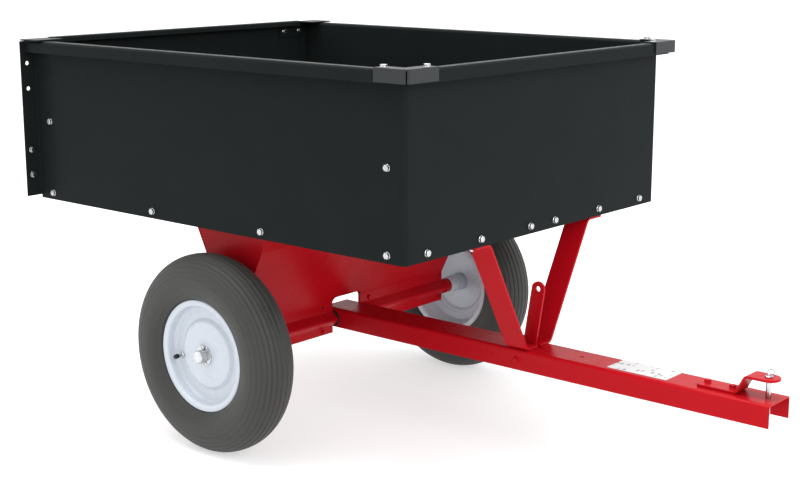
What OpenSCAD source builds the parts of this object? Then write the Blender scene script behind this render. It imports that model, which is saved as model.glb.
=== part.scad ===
// Tow-behind dump cart: a sheet-steel bed with a lift-out tailgate on two pneumatic wheels,
// a channel drawbar, and a foot latch that lets the bed tip about its axle.
// +X points forward to the hitch, +Y to the left, +Z up. The origin is on the ground under
// the middle of the whole cart. Lengths are in millimetres.

/* [Bed] */
// Length of the bed over its front and rear faces
bed_l = 1041; // [850:1:1250]
// Width of the bed over its side panels
bed_w = 825; // [680:1:1000]
// Height of the panels up to the top of the rim
bed_h = 342; // [280:1:420]
// Distance of the middle of the bed in front of the axle
bed_forward = 3; // [-10:1:20]
// Height of the panels' lower edge above the axle's centre
bed_rise = 259; // [250:1:320]
// Thickness of the bed's sheet steel
sheet_t = 1.6; // [1.2:0.1:2.5]
// Width of the rim that is turned outward at the top of the panels
rim_w = 25; // [20:1:35]
// Height of the lip that hangs from the rim
lip_h = 24; // [15:1:35]
// Height of the floor pan's turned-up edge
floor_flange_h = 28; // [25:1:45]
// Width of the flange that is turned outward at the rear of each side panel
rear_flange_w = 37; // [32:1:50]
// Gap under the rear flange, above the panels' lower edge
rear_flange_gap = 7; // [0:1:15]
// Diameter of the open holes in the rear flange
flange_hole_d = 9; // [6:0.5:12]
// Distance between the two open holes of a flange
flange_hole_pitch = 54; // [30:1:80]
// Length of a corner cap's leg along the side panel
cap_leg = 75; // [60:1:110]
// Length of a corner cap's leg along the front panel
cap_front_leg = 85; // [60:1:110]
// Wall thickness of a corner cap
cap_t = 2.5; // [2:0.5:4]

/* [Tailgate] */
// How far the tailgate stands above the rim
tailgate_over = 5; // [0:1:20]
// Clearance around the tailgate in its guides
tailgate_gap = 1.2; // [0.8:0.1:3]
// Depth of the fold along the tailgate's top edge
tailgate_fold = 18; // [10:1:30]

/* [Wheels] */
// Outer diameter of the tyre
tyre_d = 406; // [360:1:480]
// Width of the tyre
tyre_w = 102; // [85:1:120]
// Distance between the middles of the two tyres
track = 781; // [740:1:900]
// Diameter of the rim over its flanges
rim_d = 229; // [200:1:260]
// Width of the rim over its flanges
rim_flange_w = 70; // [56:1:80]
// Diameter of the axle
axle_d = 25; // [22:0.5:28]
// Length of the wheel hub
hub_l = 58; // [44:1:64]
// Outer diameter of the wheel hub
hub_d = 40; // [38:1:46]
// Depth of the wheel's disc below its outer flange
rim_dish = 24; // [18:1:28]

/* [Axle cradle] */
// Thickness of the cradle's sheet steel
cradle_t = 2.5; // [2:0.5:4]
// Reach of the cradle's front half in front of the axle, where it meets the bed
cradle_reach = 92; // [70:1:120]
// Reach of the cradle's rear half behind the axle, where it meets the bed
cradle_rear_reach = 110; // [80:1:130]
// Distance between the cradle's outer ends
cradle_w = 668; // [600:1:672]
// Outer diameter of the spacer tubes between the cradle and the wheels
sleeve_d = 34; // [32:0.5:38]

/* [Drawbar] */
// Length of the tongue
tongue_l = 1063; // [850:1:1300]
// Width of the tongue channel
tongue_w = 80; // [60:1:100]
// Height of the tongue channel
tongue_h = 42; // [36:1:50]
// Wall thickness of the tongue
tongue_t = 3; // [2.5:0.5:4]
// Length of the tongue behind the axle
tongue_tail = 28; // [24:1:32]
// Thickness of the hitch plate
hitch_t = 5; // [4:0.5:8]
// Width of the hitch plate
hitch_w = 42; // [36:1:60]
// Clear height between the tongue and the raised end of the hitch plate
hitch_gap = 34; // [25:1:45]
// Diameter of the hitch pin
hitch_pin_d = 10; // [8:0.5:16]

/* [Latch] */
// Distance of the latch's pivot behind the bed's front
latch_back = 29; // [24:0.5:80]
// Length of the latch lever above its pivot
latch_l = 158; // [120:1:200]
// Width of the latch lever
latch_w = 30; // [24:1:36]
// Thickness of the latch lever
latch_t = 5; // [4:0.5:6]
// Forward lean of the latch lever
latch_lean = 9; // [5:1:12]
// Diameter of the rope hole at the top of the lever
latch_hole_d = 11; // [6:0.5:14]
// Width of the flat bar that the bed brace is bent from
brace_bar_w = 52; // [40:1:60]
// Thickness of the bed brace
brace_t = 5; // [4:0.5:6]
// Distance of the brace's upper bends from the middle of the cart
brace_spread = 165; // [130:1:190]

/* [Fasteners] */
// Diameter of the panel and cradle bolts
bolt_d = 8; // [6:0.5:10]
// Distance across the flats of the bolt heads and nuts
bolt_af = 13; // [10:0.5:15]
// Height of the bolt heads
bolt_head_h = 5.5; // [4:0.5:7]

/* [Hidden] */
$fn = 48;

// Colours
bed_black = [0.13, 0.13, 0.13];
frame_red = [0.72, 0.08, 0.12];
zinc = [0.75, 0.76, 0.78];
wheel_white = [0.82, 0.85, 0.88];
rubber_grey = [0.2, 0.2, 0.2];

// Clearances
run_gap = 0.05;      // radial clearance of a shaft that turns in its hole
part_gap = 0.3;      // gap between faces of pieces that move past each other
hole_gap = 0.25;     // radial clearance of a bolt in its hole

// Heights above the ground
axle_z = tyre_d / 2;
bed_z0 = axle_z + bed_rise;
bed_z1 = bed_z0 + bed_h;
floor_z = bed_z0 + sheet_t / 2;
tongue_z1 = axle_z + tongue_h / 2 + 2;
tongue_z0 = tongue_z1 - tongue_h;

// Places along the cart, measured from the axle
bed_front = bed_forward + bed_l / 2;
bed_rear = bed_forward - bed_l / 2;
tongue_front = tongue_l - tongue_tail;
retainer_t = 3;
cart_rear = bed_rear - sheet_t - retainer_t - bolt_head_h;
mid_x = (tongue_front + cart_rear) / 2;

// Panels
side_y = bed_w / 2 - sheet_t / 2;
rim_mid_z = bed_z1 - sheet_t / 2;
panel_inner_y = bed_w / 2 - sheet_t;
front_mid_x = bed_front - sheet_t / 2;
panel_bolt_z = bed_z0 + 15;
side_bolt_x = [bed_rear + 43, bed_rear + 371, bed_front - 356, bed_front - 40];
corner_bolt_z = bed_z0 + 170;
front_bolt_y = [41, 197, bed_w / 2 - 60];
corner_flange_w = 62;
flange_hole_y = bed_w / 2 + rear_flange_w * 0.56;
open_hole_z = bed_z1 - 75.5;
strip_bolt_z = bed_z0 + 80.5;
flange_x0 = bed_rear - sheet_t;

// Corner caps
cap_gap = 0.2;
cap_out = rim_w + sheet_t / 2 + cap_gap + cap_t;
cap_bolt_in = 36;
cap_front_bolt_in = 44;
cap_h = lip_h + 1;
cap_chamfer = 9;
cap_top = bed_z1 + cap_gap + cap_t;

// Tailgate
guide_x = bed_rear + tailgate_gap + sheet_t;
tailgate_x = bed_rear + tailgate_gap / 2 + sheet_t / 2;
tailgate_y = panel_inner_y - tailgate_gap;
tailgate_z0 = bed_z0 + sheet_t + tailgate_gap;
tailgate_z1 = bed_z1 + tailgate_over;
hook_bolt_y = [tailgate_y - 75, tailgate_y - 22];
hook_bolt_z = bed_z1 - 21;
hook_t = 3;
hook_tab = 30;
hook_reach = 55;
stake_w = 22;
stake_depth = 38;

// Wheels
wheel_y = track / 2;
rim_r = rim_d / 2;
bead_r = rim_r - 12.5;
rim_t = 2;
hub_bore = axle_d + 6;
hub_in = wheel_y - hub_l * 0.59;
hub_out = hub_in + hub_l;
washer_t = 2.5;
axle_end = hub_out + washer_t + 17;
cotter_y = hub_out + washer_t + 4;
valve_r = rim_r - 33;
valve_turn = 192;

// Cradle
cradle_in = tongue_w / 2 + 4;
cradle_out = cradle_w / 2;
tunnel = (axle_d / 2 + cradle_t / 2 + run_gap) * sqrt(2) - cradle_t / 2;
clamp_d = 6;
clamp_af = 10;
clamp_bolt_z = tunnel + clamp_af / 2 + 2.13;
cradle_foot = clamp_bolt_z + clamp_af / 2 + 1.6;
cradle_join = cradle_foot + 5;
cradle_bend_z = bed_rise * 0.8;
cradle_top = bed_rise - cradle_t / 2;
notch_z = 47;
clamp_bolt_y = [cradle_in + 31, cradle_out - 9];
sleeve_out = hub_in - 0.4;
cradle_flange = 30;
floor_bolt_y = [90, cradle_out - 40];
floor_bolt_x = [-cradle_rear_reach - cradle_flange / 2, cradle_reach + cradle_flange / 2];

// Brace and latch
brace_mid_x = bed_front - sheet_t - brace_bar_w / 2;
brace_low_y = tongue_w / 2 - 1;
brace_z0 = tongue_z1 + 0.5;
brace_pad = 46;
brace_slot_w = latch_t + 4;
latch_x = bed_front - latch_back;
latch_z = axle_z;
bush_r = bolt_d / 2 + 2;
brace_r = 14;

// Hitch
hitch_x1 = tongue_front - 1;
hitch_pin_x = tongue_front - 22;
hitch_bolt_x = [tongue_front - 141, tongue_front - 91];
hitch_rise_x = tongue_front - 76;
hitch_low_x = tongue_front - 154;
hitch_z = tongue_z1 + hitch_t / 2;
hitch_top_z = tongue_z1 + hitch_gap + hitch_t / 2;
pin_low = 34;
pin_eye_z = hitch_top_z + hitch_t / 2 + part_gap + 4.2;
ring_r = 6.2;
ring_wire = 2.2;

// ---------------------------------------------------------------- helpers

// Moves a piece from the axle's frame, with the ground at zero, to the cart's own frame
module cart() { translate([-mid_x, 0, 0]) children(); }

// A bent strip of thickness t seen from its edge, along a middle line through the points
function unit_normal(a, b) = [a[1] - b[1], b[0] - a[0]] / norm(b - a);
function strip_side(p, d) = [for (i = [0 : len(p) - 1])
    let (u = unit_normal(p[max(i - 1, 0)], p[max(i, 1)]),
        v = unit_normal(p[min(i, len(p) - 2)], p[min(i + 1, len(p) - 1)]))
    p[i] + d * (u + v) / (1 + u * v)];
function reversed(p) = [for (i = [len(p) - 1 : -1 : 0]) p[i]];
module strip(points, t) { polygon(concat(strip_side(points, t / 2), reversed(strip_side(points, -t / 2)))); }

// Points of an arc, for a bend of larger radius
function arc(c, r, a0, a1, n = 6) = [for (i = [0 : n])
    let (a = a0 + (a1 - a0) * i / n) c + r * [cos(a), sin(a)]];

// Extrudes an outline drawn in Y and Z along X, or one drawn in X and Z along Y
module along_x(x0, x1) { translate([x0, 0, 0]) rotate([90, 0, 90]) linear_extrude(x1 - x0) children(); }
module along_y(y0, y1) { translate([0, y1, 0]) rotate([90, 0, 0]) linear_extrude(y1 - y0) children(); }

// A block between two corners
module block(a, b) { translate(a) cube(b - a); }

// Turns +Z to one of the cart's directions
module facing(d) {
    if (d == "+x") rotate([0, 90, 0]) children();
    if (d == "-x") rotate([0, -90, 0]) children();
    if (d == "+y") rotate([-90, 0, 0]) children();
    if (d == "-y") rotate([90, 0, 0]) children();
    if (d == "+z") children();
    if (d == "-z") rotate([180, 0, 0]) children();
}

// Copies a piece to the other side of the cart
module both_sides() { children(); mirror([0, 1, 0]) children(); }

// Flanged hex bolt: the head's underside is at zero and the shank runs down
module bolt(grip, d = bolt_d, af = bolt_af, h = bolt_head_h) {
    cylinder(d = af * 1.28, h = h * 0.28);
    cylinder(d = af / cos(30), h = h, $fn = 6);
    translate([0, 0, -grip]) cylinder(d = d, h = grip + 0.1);
}

// Hex nut whose seat is at zero, standing upward, for a bolt of diameter d
module nut(d = bolt_d, af = bolt_af, h = 6.5) {
    difference() {
        union() {
            cylinder(d = af * 1.28, h = 1.5);
            cylinder(d = af / cos(30), h = h, $fn = 6);
        }
        translate([0, 0, -1]) cylinder(r = d / 2 + run_gap, h = h + 2);
    }
}

// A hole for a bolt, long enough to cut the sheets on either side of it
module drill(l = 12, d = bolt_d) { translate([0, 0, -l / 2]) cylinder(r = d / 2 + hole_gap, h = l); }

// ---------------------------------------------------------------- shared bolt places

// Bolts through the side panels: the lower row joins the floor, one joins the front corner
// and one the guide stake
module at_side_bolts() {
    for (x = side_bolt_x) translate([x, -bed_w / 2, panel_bolt_z]) facing("-y") children();
    for (x = [side_bolt_x[0], side_bolt_x[3]])
        translate([x, -bed_w / 2, corner_bolt_z]) facing("-y") children();
}

// Bolts through the lower edge of the front panel
module at_front_bolts() {
    for (y = front_bolt_y) translate([bed_front, -y, panel_bolt_z]) facing("+x") children();
}

// Bolts through the rear flange and the retainer strip, seen from the front
module at_strip_bolts() {
    for (k = [0, 1])
        translate([bed_rear, -flange_hole_y, strip_bolt_z + 54 * k - 27]) facing("+x") children();
}

// Bolts on top of a corner cap
module at_cap_bolts() {
    translate([bed_front - cap_bolt_in, -(bed_w / 2 + rim_w / 2), cap_top]) children();
    translate([bed_front + rim_w / 2, -(bed_w / 2 - cap_front_bolt_in), cap_top]) children();
}

// Bolts that clamp the two halves of the cradle above and below the axle
module at_clamp_bolts() {
    for (y = clamp_bolt_y, z = [clamp_bolt_z, -clamp_bolt_z])
        translate([cradle_t, -y, axle_z + z]) facing("+x") children();
}

// Bolts from the floor down into the cradle's flanges and the brace's feet
module at_floor_bolts() {
    for (x = floor_bolt_x, y = floor_bolt_y) translate([x, -y, floor_z + sheet_t / 2]) children();
    translate([brace_mid_x, -(brace_spread + brace_pad / 2), floor_z + sheet_t / 2]) children();
}

// Bolts of a tailgate hook
module at_hook_bolts() {
    for (y = hook_bolt_y)
        translate([tailgate_x + sheet_t / 2 + hook_t, -y, hook_bolt_z]) facing("+x") children();
}

// ---------------------------------------------------------------- drawbar

module tongue() {
    web = tongue_z1 - tongue_t / 2;
    leg = tongue_w / 2 - tongue_t / 2;
    color(frame_red) cart() difference() {
        along_x(-tongue_tail, tongue_front)
            strip(concat([[-leg, tongue_z0]], arc([-leg + 3, web - 3], 3, 180, 90, 4),
                arc([leg - 3, web - 3], 3, 90, 0, 4), [[leg, tongue_z0]]), tongue_t);
        translate([0, 0, axle_z]) facing("+y") translate([0, 0, -tongue_w])
            cylinder(r = axle_d / 2 + 3, h = 2 * tongue_w);
        translate([latch_x, 0, latch_z]) facing("+y") drill(2 * tongue_w);
        // slot that the latch lever stands in
        block([latch_x - latch_w * 0.8, -latch_t / 2 - 1.5, tongue_z1 - 2 * tongue_t],
            [latch_x + latch_w * 1.35, latch_t / 2 + 1.5, tongue_z1 + 1]);
        for (x = hitch_bolt_x) translate([x, 0, tongue_z1]) drill(20);
        translate([hitch_pin_x, 0, tongue_z1]) cylinder(r = hitch_pin_d / 2 + run_gap, h = 20, center = true);
        // drain hole on the centre line
        translate([tongue_front - 413, 0, tongue_z1]) cylinder(d = 7, h = 20, center = true);
    }
}

module hitch_outline() {
    strip([[hitch_low_x, hitch_z], [hitch_rise_x, hitch_z], [hitch_rise_x + hitch_gap * 0.53, hitch_top_z],
        [hitch_x1 + 20, hitch_top_z]], hitch_t);
}

module hitch_plate() {
    color(frame_red) cart() difference() {
        intersection() {
            along_y(-hitch_w / 2, hitch_w / 2) hitch_outline();
            union() {
                block([hitch_low_x, -hitch_w / 2, 0], [hitch_pin_x - 12, hitch_w / 2, bed_z0]);
                translate([hitch_pin_x, 0, 0]) cylinder(r = hitch_x1 - hitch_pin_x, h = bed_z0);
                block([hitch_pin_x - 30, -(hitch_x1 - hitch_pin_x), 0],
                    [hitch_pin_x, hitch_x1 - hitch_pin_x, bed_z0]);
            }
        }
        for (x = hitch_bolt_x) translate([x, 0, hitch_z]) drill(20);
        translate([hitch_pin_x, 0, 0]) cylinder(r = hitch_pin_d / 2 + run_gap, h = bed_z0);
    }
}

module hitch_bolts() {
    color(frame_red) cart() for (x = hitch_bolt_x)
        translate([x, 0, tongue_z1 + hitch_t]) bolt(hitch_t + tongue_t + 9, h = 6);
}

module hitch_nuts() {
    color(frame_red) cart() for (x = hitch_bolt_x)
        translate([x, 0, tongue_z1 - tongue_t]) facing("-z") nut();
}

module blank_label() {
    color([0.93, 0.93, 0.92]) cart()
        block([tongue_front - 340, -26, tongue_z1], [tongue_front - 212, 35, tongue_z1 + 0.4]);
}

// Flanged bushings that the axle passes through in the tongue's two walls
module pivot_bushings() {
    color([0.1, 0.1, 0.1]) cart() both_sides()
        translate([0, -tongue_w / 2 - 2.4, axle_z]) facing("+y") difference() {
            union() {
                cylinder(r = axle_d / 2 + 6, h = 2.4);
                cylinder(r = axle_d / 2 + 3, h = 2.4 + tongue_t + 2);
            }
            translate([0, 0, -1]) cylinder(r = axle_d / 2 + run_gap, h = 20);
        }
}

module latch_bolt() {
    color(frame_red) cart() translate([latch_x, -tongue_w / 2, latch_z]) facing("-y") bolt(tongue_w + 10);
}

module latch_nut() {
    color(frame_red) cart() translate([latch_x, tongue_w / 2, latch_z]) facing("+y") nut();
}

// ---------------------------------------------------------------- latch

// The lever's catch stands just in front of the brace's slot; tipping the lever back hooks it
module latch_lever() {
    catch_x = latch_w / 2 + 5;
    catch_z = brace_z0 + brace_t + 1 - latch_z;
    color(frame_red) cart() translate([latch_x, 0, latch_z]) rotate([0, latch_lean, 0]) difference() {
        along_y(-latch_t / 2, latch_t / 2) union() {
            circle(d = latch_w);
            translate([-latch_w / 2, 0]) square([latch_w, latch_l - latch_w / 2]);
            translate([0, latch_l - latch_w / 2]) circle(d = latch_w);
            translate([-catch_x, catch_z]) square([catch_x, 9]);
        }
        facing("+y") translate([0, 0, -latch_t]) cylinder(r = bush_r + run_gap, h = 2 * latch_t);
        translate([0, 0, latch_l - latch_w / 2]) facing("+y")
            translate([0, 0, -latch_t]) cylinder(d = latch_hole_d, h = 2 * latch_t);
    }
}

// Spacer that carries the lever and its spring on the pivot bolt
module latch_bush() {
    reach = tongue_w / 2 - tongue_t - part_gap;
    color(zinc) cart() translate([latch_x, -reach, latch_z]) facing("+y") difference() {
        cylinder(r = bush_r, h = 2 * reach);
        translate([0, 0, -1]) cylinder(r = bolt_d / 2 + run_gap, h = 2 * reach + 2);
    }
}

// Return spring, wound round the bush beside the lever, with one leg under the web
module latch_spring() {
    wire = 2;
    r = bush_r + wire / 2 + 0.6;
    color(zinc) cart() translate([latch_x, latch_t / 2 + 2, latch_z]) union() {
        facing("+y") rotate_extrude() for (i = [0 : 5])
            translate([r, i * wire * 0.9]) circle(d = wire, $fn = 24);
        translate([-r - 0.2, wire * 0.45, 0]) cylinder(d = wire * 1.2, h = 12, $fn = 24);
        translate([r + 0.2, wire * 0.9 * 4.5, -12]) cylinder(d = wire * 1.2, h = 12, $fn = 24);
    }
}

// ---------------------------------------------------------------- hitch pin

module hitch_pin() {
    top = hitch_top_z + hitch_t / 2;
    color(zinc) cart() translate([hitch_pin_x, 0, 0]) difference() {
        union() {
            translate([0, 0, tongue_z1 - pin_low + 2])
                cylinder(d = hitch_pin_d, h = top - tongue_z1 + pin_low);
            translate([0, 0, tongue_z1 - pin_low]) cylinder(d1 = hitch_pin_d - 4, d2 = hitch_pin_d, h = 2.01);
            translate([0, 0, top + part_gap]) cylinder(d = hitch_pin_d + 5, h = 2);
            translate([0, 0, top + part_gap + 1.9]) cylinder(d = 6, h = 4.8);
        }
        translate([0, 0, pin_eye_z]) facing("+x") cylinder(d = ring_wire + 1, h = 30, center = true);
    }
}

// Pull ring through the eye at the pin's top, leaning back on the collar
module pin_ring() {
    color(zinc) cart() translate([hitch_pin_x, 0, pin_eye_z]) rotate([-55, 0, 0])
        translate([0, 0, ring_r - 0.3]) facing("+y")
            rotate_extrude() translate([ring_r, 0]) circle(d = ring_wire, $fn = 24);
}

// ---------------------------------------------------------------- bed

// The floor with its edges turned up inside the front and side panels
module floor_pan() {
    e = panel_inner_y - sheet_t / 2;
    x1 = bed_front - sheet_t;
    color(bed_black) cart() difference() {
        union() {
            along_x(guide_x, x1) strip([[-e, floor_z + floor_flange_h], [-e, floor_z], [e, floor_z],
                [e, floor_z + floor_flange_h]], sheet_t);
            block([x1 - sheet_t, -e, floor_z], [x1, e, floor_z + floor_flange_h]);
        }
        both_sides() {
            at_side_bolts() drill(30);
            at_front_bolts() drill(30);
            at_floor_bolts() drill();
        }
    }
}

module front_panel() {
    e = panel_inner_y - 2 * sheet_t;
    color(bed_black) cart() difference() {
        union() {
            along_y(-panel_inner_y, panel_inner_y)
                strip([[front_mid_x, bed_z0], [front_mid_x, rim_mid_z]], sheet_t);
            along_y(-bed_w / 2, bed_w / 2)
                strip([[front_mid_x, rim_mid_z], [front_mid_x + rim_w, rim_mid_z],
                    [front_mid_x + rim_w, rim_mid_z - lip_h]], sheet_t);
            // corner flanges, turned back inside the side panels above the floor's edge
            both_sides() block(
                [bed_front - corner_flange_w, panel_inner_y - sheet_t, floor_z + floor_flange_h + 0.4],
                [bed_front - sheet_t / 2, panel_inner_y, bed_z1 - 8]);
        }
        both_sides() {
            at_side_bolts() drill(30);
            at_front_bolts() drill(30);
            at_cap_bolts() drill(30);
        }
    }
}

module side_panel() {
    difference() {
        union() {
            along_x(bed_rear, bed_front) strip([[-side_y, bed_z0], [-side_y, rim_mid_z],
                [-side_y - rim_w, rim_mid_z], [-side_y - rim_w, rim_mid_z - lip_h]], sheet_t);
            block([flange_x0, -bed_w / 2 - rear_flange_w, bed_z0 + rear_flange_gap],
                [bed_rear, -panel_inner_y, bed_z1]);
        }
        at_side_bolts() drill(30);
        at_cap_bolts() drill(30);
        at_strip_bolts() drill(20);
        for (k = [0, 1]) translate([bed_rear, -flange_hole_y, open_hole_z + flange_hole_pitch * (k - 0.5)])
            facing("+x") cylinder(d = flange_hole_d, h = 20, center = true);
    }
}

module side_panel_right() { color(bed_black) cart() side_panel(); }
module side_panel_left() { color(bed_black) cart() mirror([0, 1, 0]) side_panel(); }

// Outline of a corner cap seen from above, set in by d from its outer faces
module cap_outline(d) {
    x = bed_front + cap_out - d;
    y = -(bed_w / 2 + cap_out - d);
    c = cap_chamfer;
    xi = bed_front + cap_out - cap_leg;
    yi = -(bed_w / 2 + cap_out - cap_front_leg);
    polygon([[xi, y], [x - c, y], [x, y + c], [x, yi], [bed_front - 1, yi], [bed_front - 1, -(bed_w / 2 - 1)],
        [xi, -(bed_w / 2 - 1)]]);
}

module corner_cap() {
    wall = cap_t;
    difference() {
        translate([0, 0, cap_top - cap_h]) linear_extrude(cap_h) cap_outline(0);
        translate([0, 0, cap_top - cap_h - 1]) linear_extrude(cap_h + 1 - wall) cap_outline(wall);
        // opening towards the panels and at both ends
        block([0, -bed_w / 2 - rim_w, cap_top - cap_h - 1], [bed_front + rim_w, 0, cap_top - wall]);
        at_cap_bolts() drill(30);
    }
}

module corner_cap_right() { color([0.3, 0.31, 0.32]) cart() corner_cap(); }
module corner_cap_left() { color([0.3, 0.31, 0.32]) cart() mirror([0, 1, 0]) corner_cap(); }

// Angles inside the rear corners that the tailgate slides behind
module guide_stakes() {
    color(bed_black) cart() both_sides() difference() {
        translate([0, 0, floor_z + floor_flange_h + 0.4]) linear_extrude(bed_h - floor_flange_h - 42)
            strip([[guide_x + sheet_t / 2, -panel_inner_y + stake_w],
                [guide_x + sheet_t / 2, -panel_inner_y + sheet_t / 2],
                [guide_x + stake_depth, -panel_inner_y + sheet_t / 2]], sheet_t);
        at_side_bolts() drill(30);
    }
}

// Flat strips behind the rear flanges that hold the tailgate from behind
module retainer_strips() {
    color(bed_black) cart() both_sides() difference() {
        block([flange_x0 - retainer_t, -bed_w / 2 - rear_flange_w + 2, bed_z0 + rear_flange_gap],
            [flange_x0, -panel_inner_y + 18, bed_z0 + rear_flange_gap + 160]);
        at_strip_bolts() drill(30);
    }
}

module panel_bolts() {
    color(zinc) cart() both_sides() {
        at_side_bolts() bolt(2 * sheet_t + 9);
        at_front_bolts() bolt(2 * sheet_t + 9);
    }
}

module panel_nuts() {
    color(zinc) cart() both_sides() {
        at_side_bolts() translate([0, 0, -2 * sheet_t - 0.05]) facing("-z") nut();
        at_front_bolts() translate([0, 0, -2 * sheet_t - 0.05]) facing("-z") nut();
    }
}

module flange_bolts() {
    color(zinc) cart() both_sides() at_strip_bolts() bolt(sheet_t + retainer_t + bolt_head_h);
}

module flange_nuts() {
    color(zinc) cart() both_sides() at_strip_bolts()
        translate([0, 0, -sheet_t - retainer_t]) facing("-z") nut(h = bolt_head_h);
}

module cap_bolts() {
    color(zinc) cart() both_sides() at_cap_bolts() bolt(cap_t + cap_gap + sheet_t + 8, h = 4.5);
}

module cap_nuts() {
    color(zinc) cart() both_sides() at_cap_bolts()
        translate([0, 0, -cap_t - cap_gap - sheet_t]) facing("-z") nut(h = 6);
}

// ---------------------------------------------------------------- cradle and axle

// Each half of the cradle seen from the side: a foot, a fold round the axle, then a slanting wall.
// The front wall turns upright below the bed, and the rear wall runs on to it.
cradle_foot_path = [[0, -cradle_foot], [0, -tunnel], [tunnel, 0], [0, tunnel], [0, cradle_join]];
cradle_front_path = concat(cradle_foot_path, [[cradle_reach - 8, cradle_bend_z],
    [cradle_reach, cradle_bend_z + 26], [cradle_reach, cradle_top],
    [cradle_reach + cradle_flange, cradle_top]]);
cradle_rear_path = concat(cradle_foot_path, [[cradle_rear_reach, cradle_top],
    [cradle_rear_reach + cradle_flange, cradle_top]]);

module cradle_half(path) {
    difference() {
        along_y(-cradle_out, cradle_out) translate([cradle_t / 2, axle_z]) strip(path, cradle_t);
        // notch for the tongue, open at the bottom
        along_x(-1, max(cradle_reach, cradle_rear_reach)) translate([0, axle_z]) polygon(concat(
            [[-cradle_in, -cradle_foot - 5]], arc([-cradle_in + 8, notch_z - 8], 8, 180, 90),
            arc([cradle_in - 8, notch_z - 8], 8, 90, 0), [[cradle_in, -cradle_foot - 5]]));
        both_sides() at_clamp_bolts() drill(30, d = clamp_d);
    }
}

module cradle_front() {
    color(frame_red) cart() difference() {
        cradle_half(cradle_front_path);
        both_sides() at_floor_bolts() drill(20);
    }
}

module cradle_rear() {
    color(frame_red) cart() difference() {
        mirror([1, 0, 0]) cradle_half(cradle_rear_path);
        both_sides() at_floor_bolts() drill(20);
    }
}

// Plates that close the cradle's ends between its two walls
module cradle_ends() {
    g = cradle_t + 0.02;
    color(frame_red) cart() both_sides()
        translate([0, cradle_out - 0.5, axle_z]) facing("+y") mirror([0, 1, 0]) translate([0, 0, -cradle_t])
            linear_extrude(cradle_t) polygon([[-g / 4, cradle_join + 4], [g / 4, cradle_join + 4],
                [cradle_reach - 8 - 0.6, cradle_bend_z], [cradle_reach - 0.1, cradle_bend_z + 26],
                [cradle_reach - 0.1, cradle_top + cradle_t / 2 - 0.1],
                [-cradle_rear_reach + 1.2, cradle_top + cradle_t / 2 - 0.1],
                [-cradle_rear_reach + 1.2, cradle_top - 1]]);
}

module cradle_bolts() {
    color(frame_red) cart() both_sides() at_clamp_bolts() bolt(2 * cradle_t + 8, clamp_d, clamp_af, 4.5);
}

module cradle_nuts() {
    color(frame_red) cart() both_sides() at_clamp_bolts()
        translate([0, 0, -2 * cradle_t]) facing("-z") nut(clamp_d, clamp_af, 5);
}

module floor_bolts() { color(zinc) cart() both_sides() at_floor_bolts() bolt(sheet_t + brace_t + 9, h = 4); }

module floor_nuts() {
    color(zinc) cart() both_sides() {
        for (x = floor_bolt_x, y = floor_bolt_y) translate([x, -y, bed_z0 - cradle_t]) facing("-z") nut();
        translate([brace_mid_x, -(brace_spread + brace_pad / 2), bed_z0 - brace_t]) facing("-z") nut();
    }
}

// One flat bar bent to a V: two feet under the floor, two legs and a base that rests on the tongue
module bed_brace() {
    z1 = bed_z0 - brace_t / 2;
    z0 = brace_z0 + brace_t / 2;
    tilt = atan2(z1 - z0, brace_spread - brace_low_y);
    bend_y = brace_low_y - brace_r * tan(tilt / 2);
    color(frame_red) cart() difference() {
        along_x(brace_mid_x - brace_bar_w / 2, brace_mid_x + brace_bar_w / 2)
            strip(concat([[-brace_spread - brace_pad, z1], [-brace_spread, z1]],
                arc([-bend_y, z0 + brace_r], brace_r, 270 - tilt, 270),
                arc([bend_y, z0 + brace_r], brace_r, 270, 270 + tilt),
                [[brace_spread, z1], [brace_spread + brace_pad, z1]]), brace_t);
        // slot for the latch lever, open to the front
        block([latch_x - latch_w / 2 - 2.6, -brace_slot_w / 2, brace_z0 - 1],
            [bed_front + 10, brace_slot_w / 2, brace_z0 + 2 * brace_t]);
        both_sides() at_floor_bolts() drill(30);
    }
}

module axle() {
    color(zinc) cart() translate([0, 0, axle_z]) facing("+y") difference() {
        union() {
            cylinder(d = axle_d, h = 2 * axle_end - 3, center = true);
            for (a = [0, 180]) rotate([a, 0, 0]) translate([0, 0, axle_end - 1.51])
                cylinder(d1 = axle_d, d2 = axle_d - 3, h = 1.5);
        }
        for (s = [-1, 1]) translate([0, 0, s * cotter_y]) facing("+y")
            cylinder(d = 4.4, h = 2 * axle_d, center = true);
    }
}

// Spacer tubes round the axle between the cradle and the wheels
module axle_sleeves() {
    y0 = cradle_out;
    color(frame_red) cart() both_sides() translate([0, y0, axle_z]) facing("+y") difference() {
        cylinder(d = sleeve_d, h = sleeve_out - y0);
        translate([0, 0, -1]) cylinder(r = axle_d / 2 + run_gap, h = sleeve_out);
    }
}

module axle_washers() {
    color(zinc) cart() both_sides() translate([0, hub_out + part_gap, axle_z]) facing("+y") difference() {
        cylinder(d = hub_d + 2, h = washer_t);
        translate([0, 0, -1]) cylinder(r = axle_d / 2 + run_gap, h = washer_t + 2);
    }
}

// Split pins through the axle's ends: an eye, the closed legs and their spread tips
module cotter_pins() {
    color(zinc) cart() both_sides() translate([0, cotter_y, axle_z]) {
        translate([0, 0, -axle_d / 2 - 7]) cylinder(d = 4, h = axle_d + 10, $fn = 24);
        translate([0, 0, axle_d / 2 + 6]) facing("+y")
            rotate_extrude() translate([3.4, 0]) circle(d = 2.2, $fn = 24);
        translate([-8, 0, -axle_d / 2 - 5.5]) facing("+x") cylinder(d = 1.9, h = 16, $fn = 24);
    }
}

// ---------------------------------------------------------------- tailgate

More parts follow.
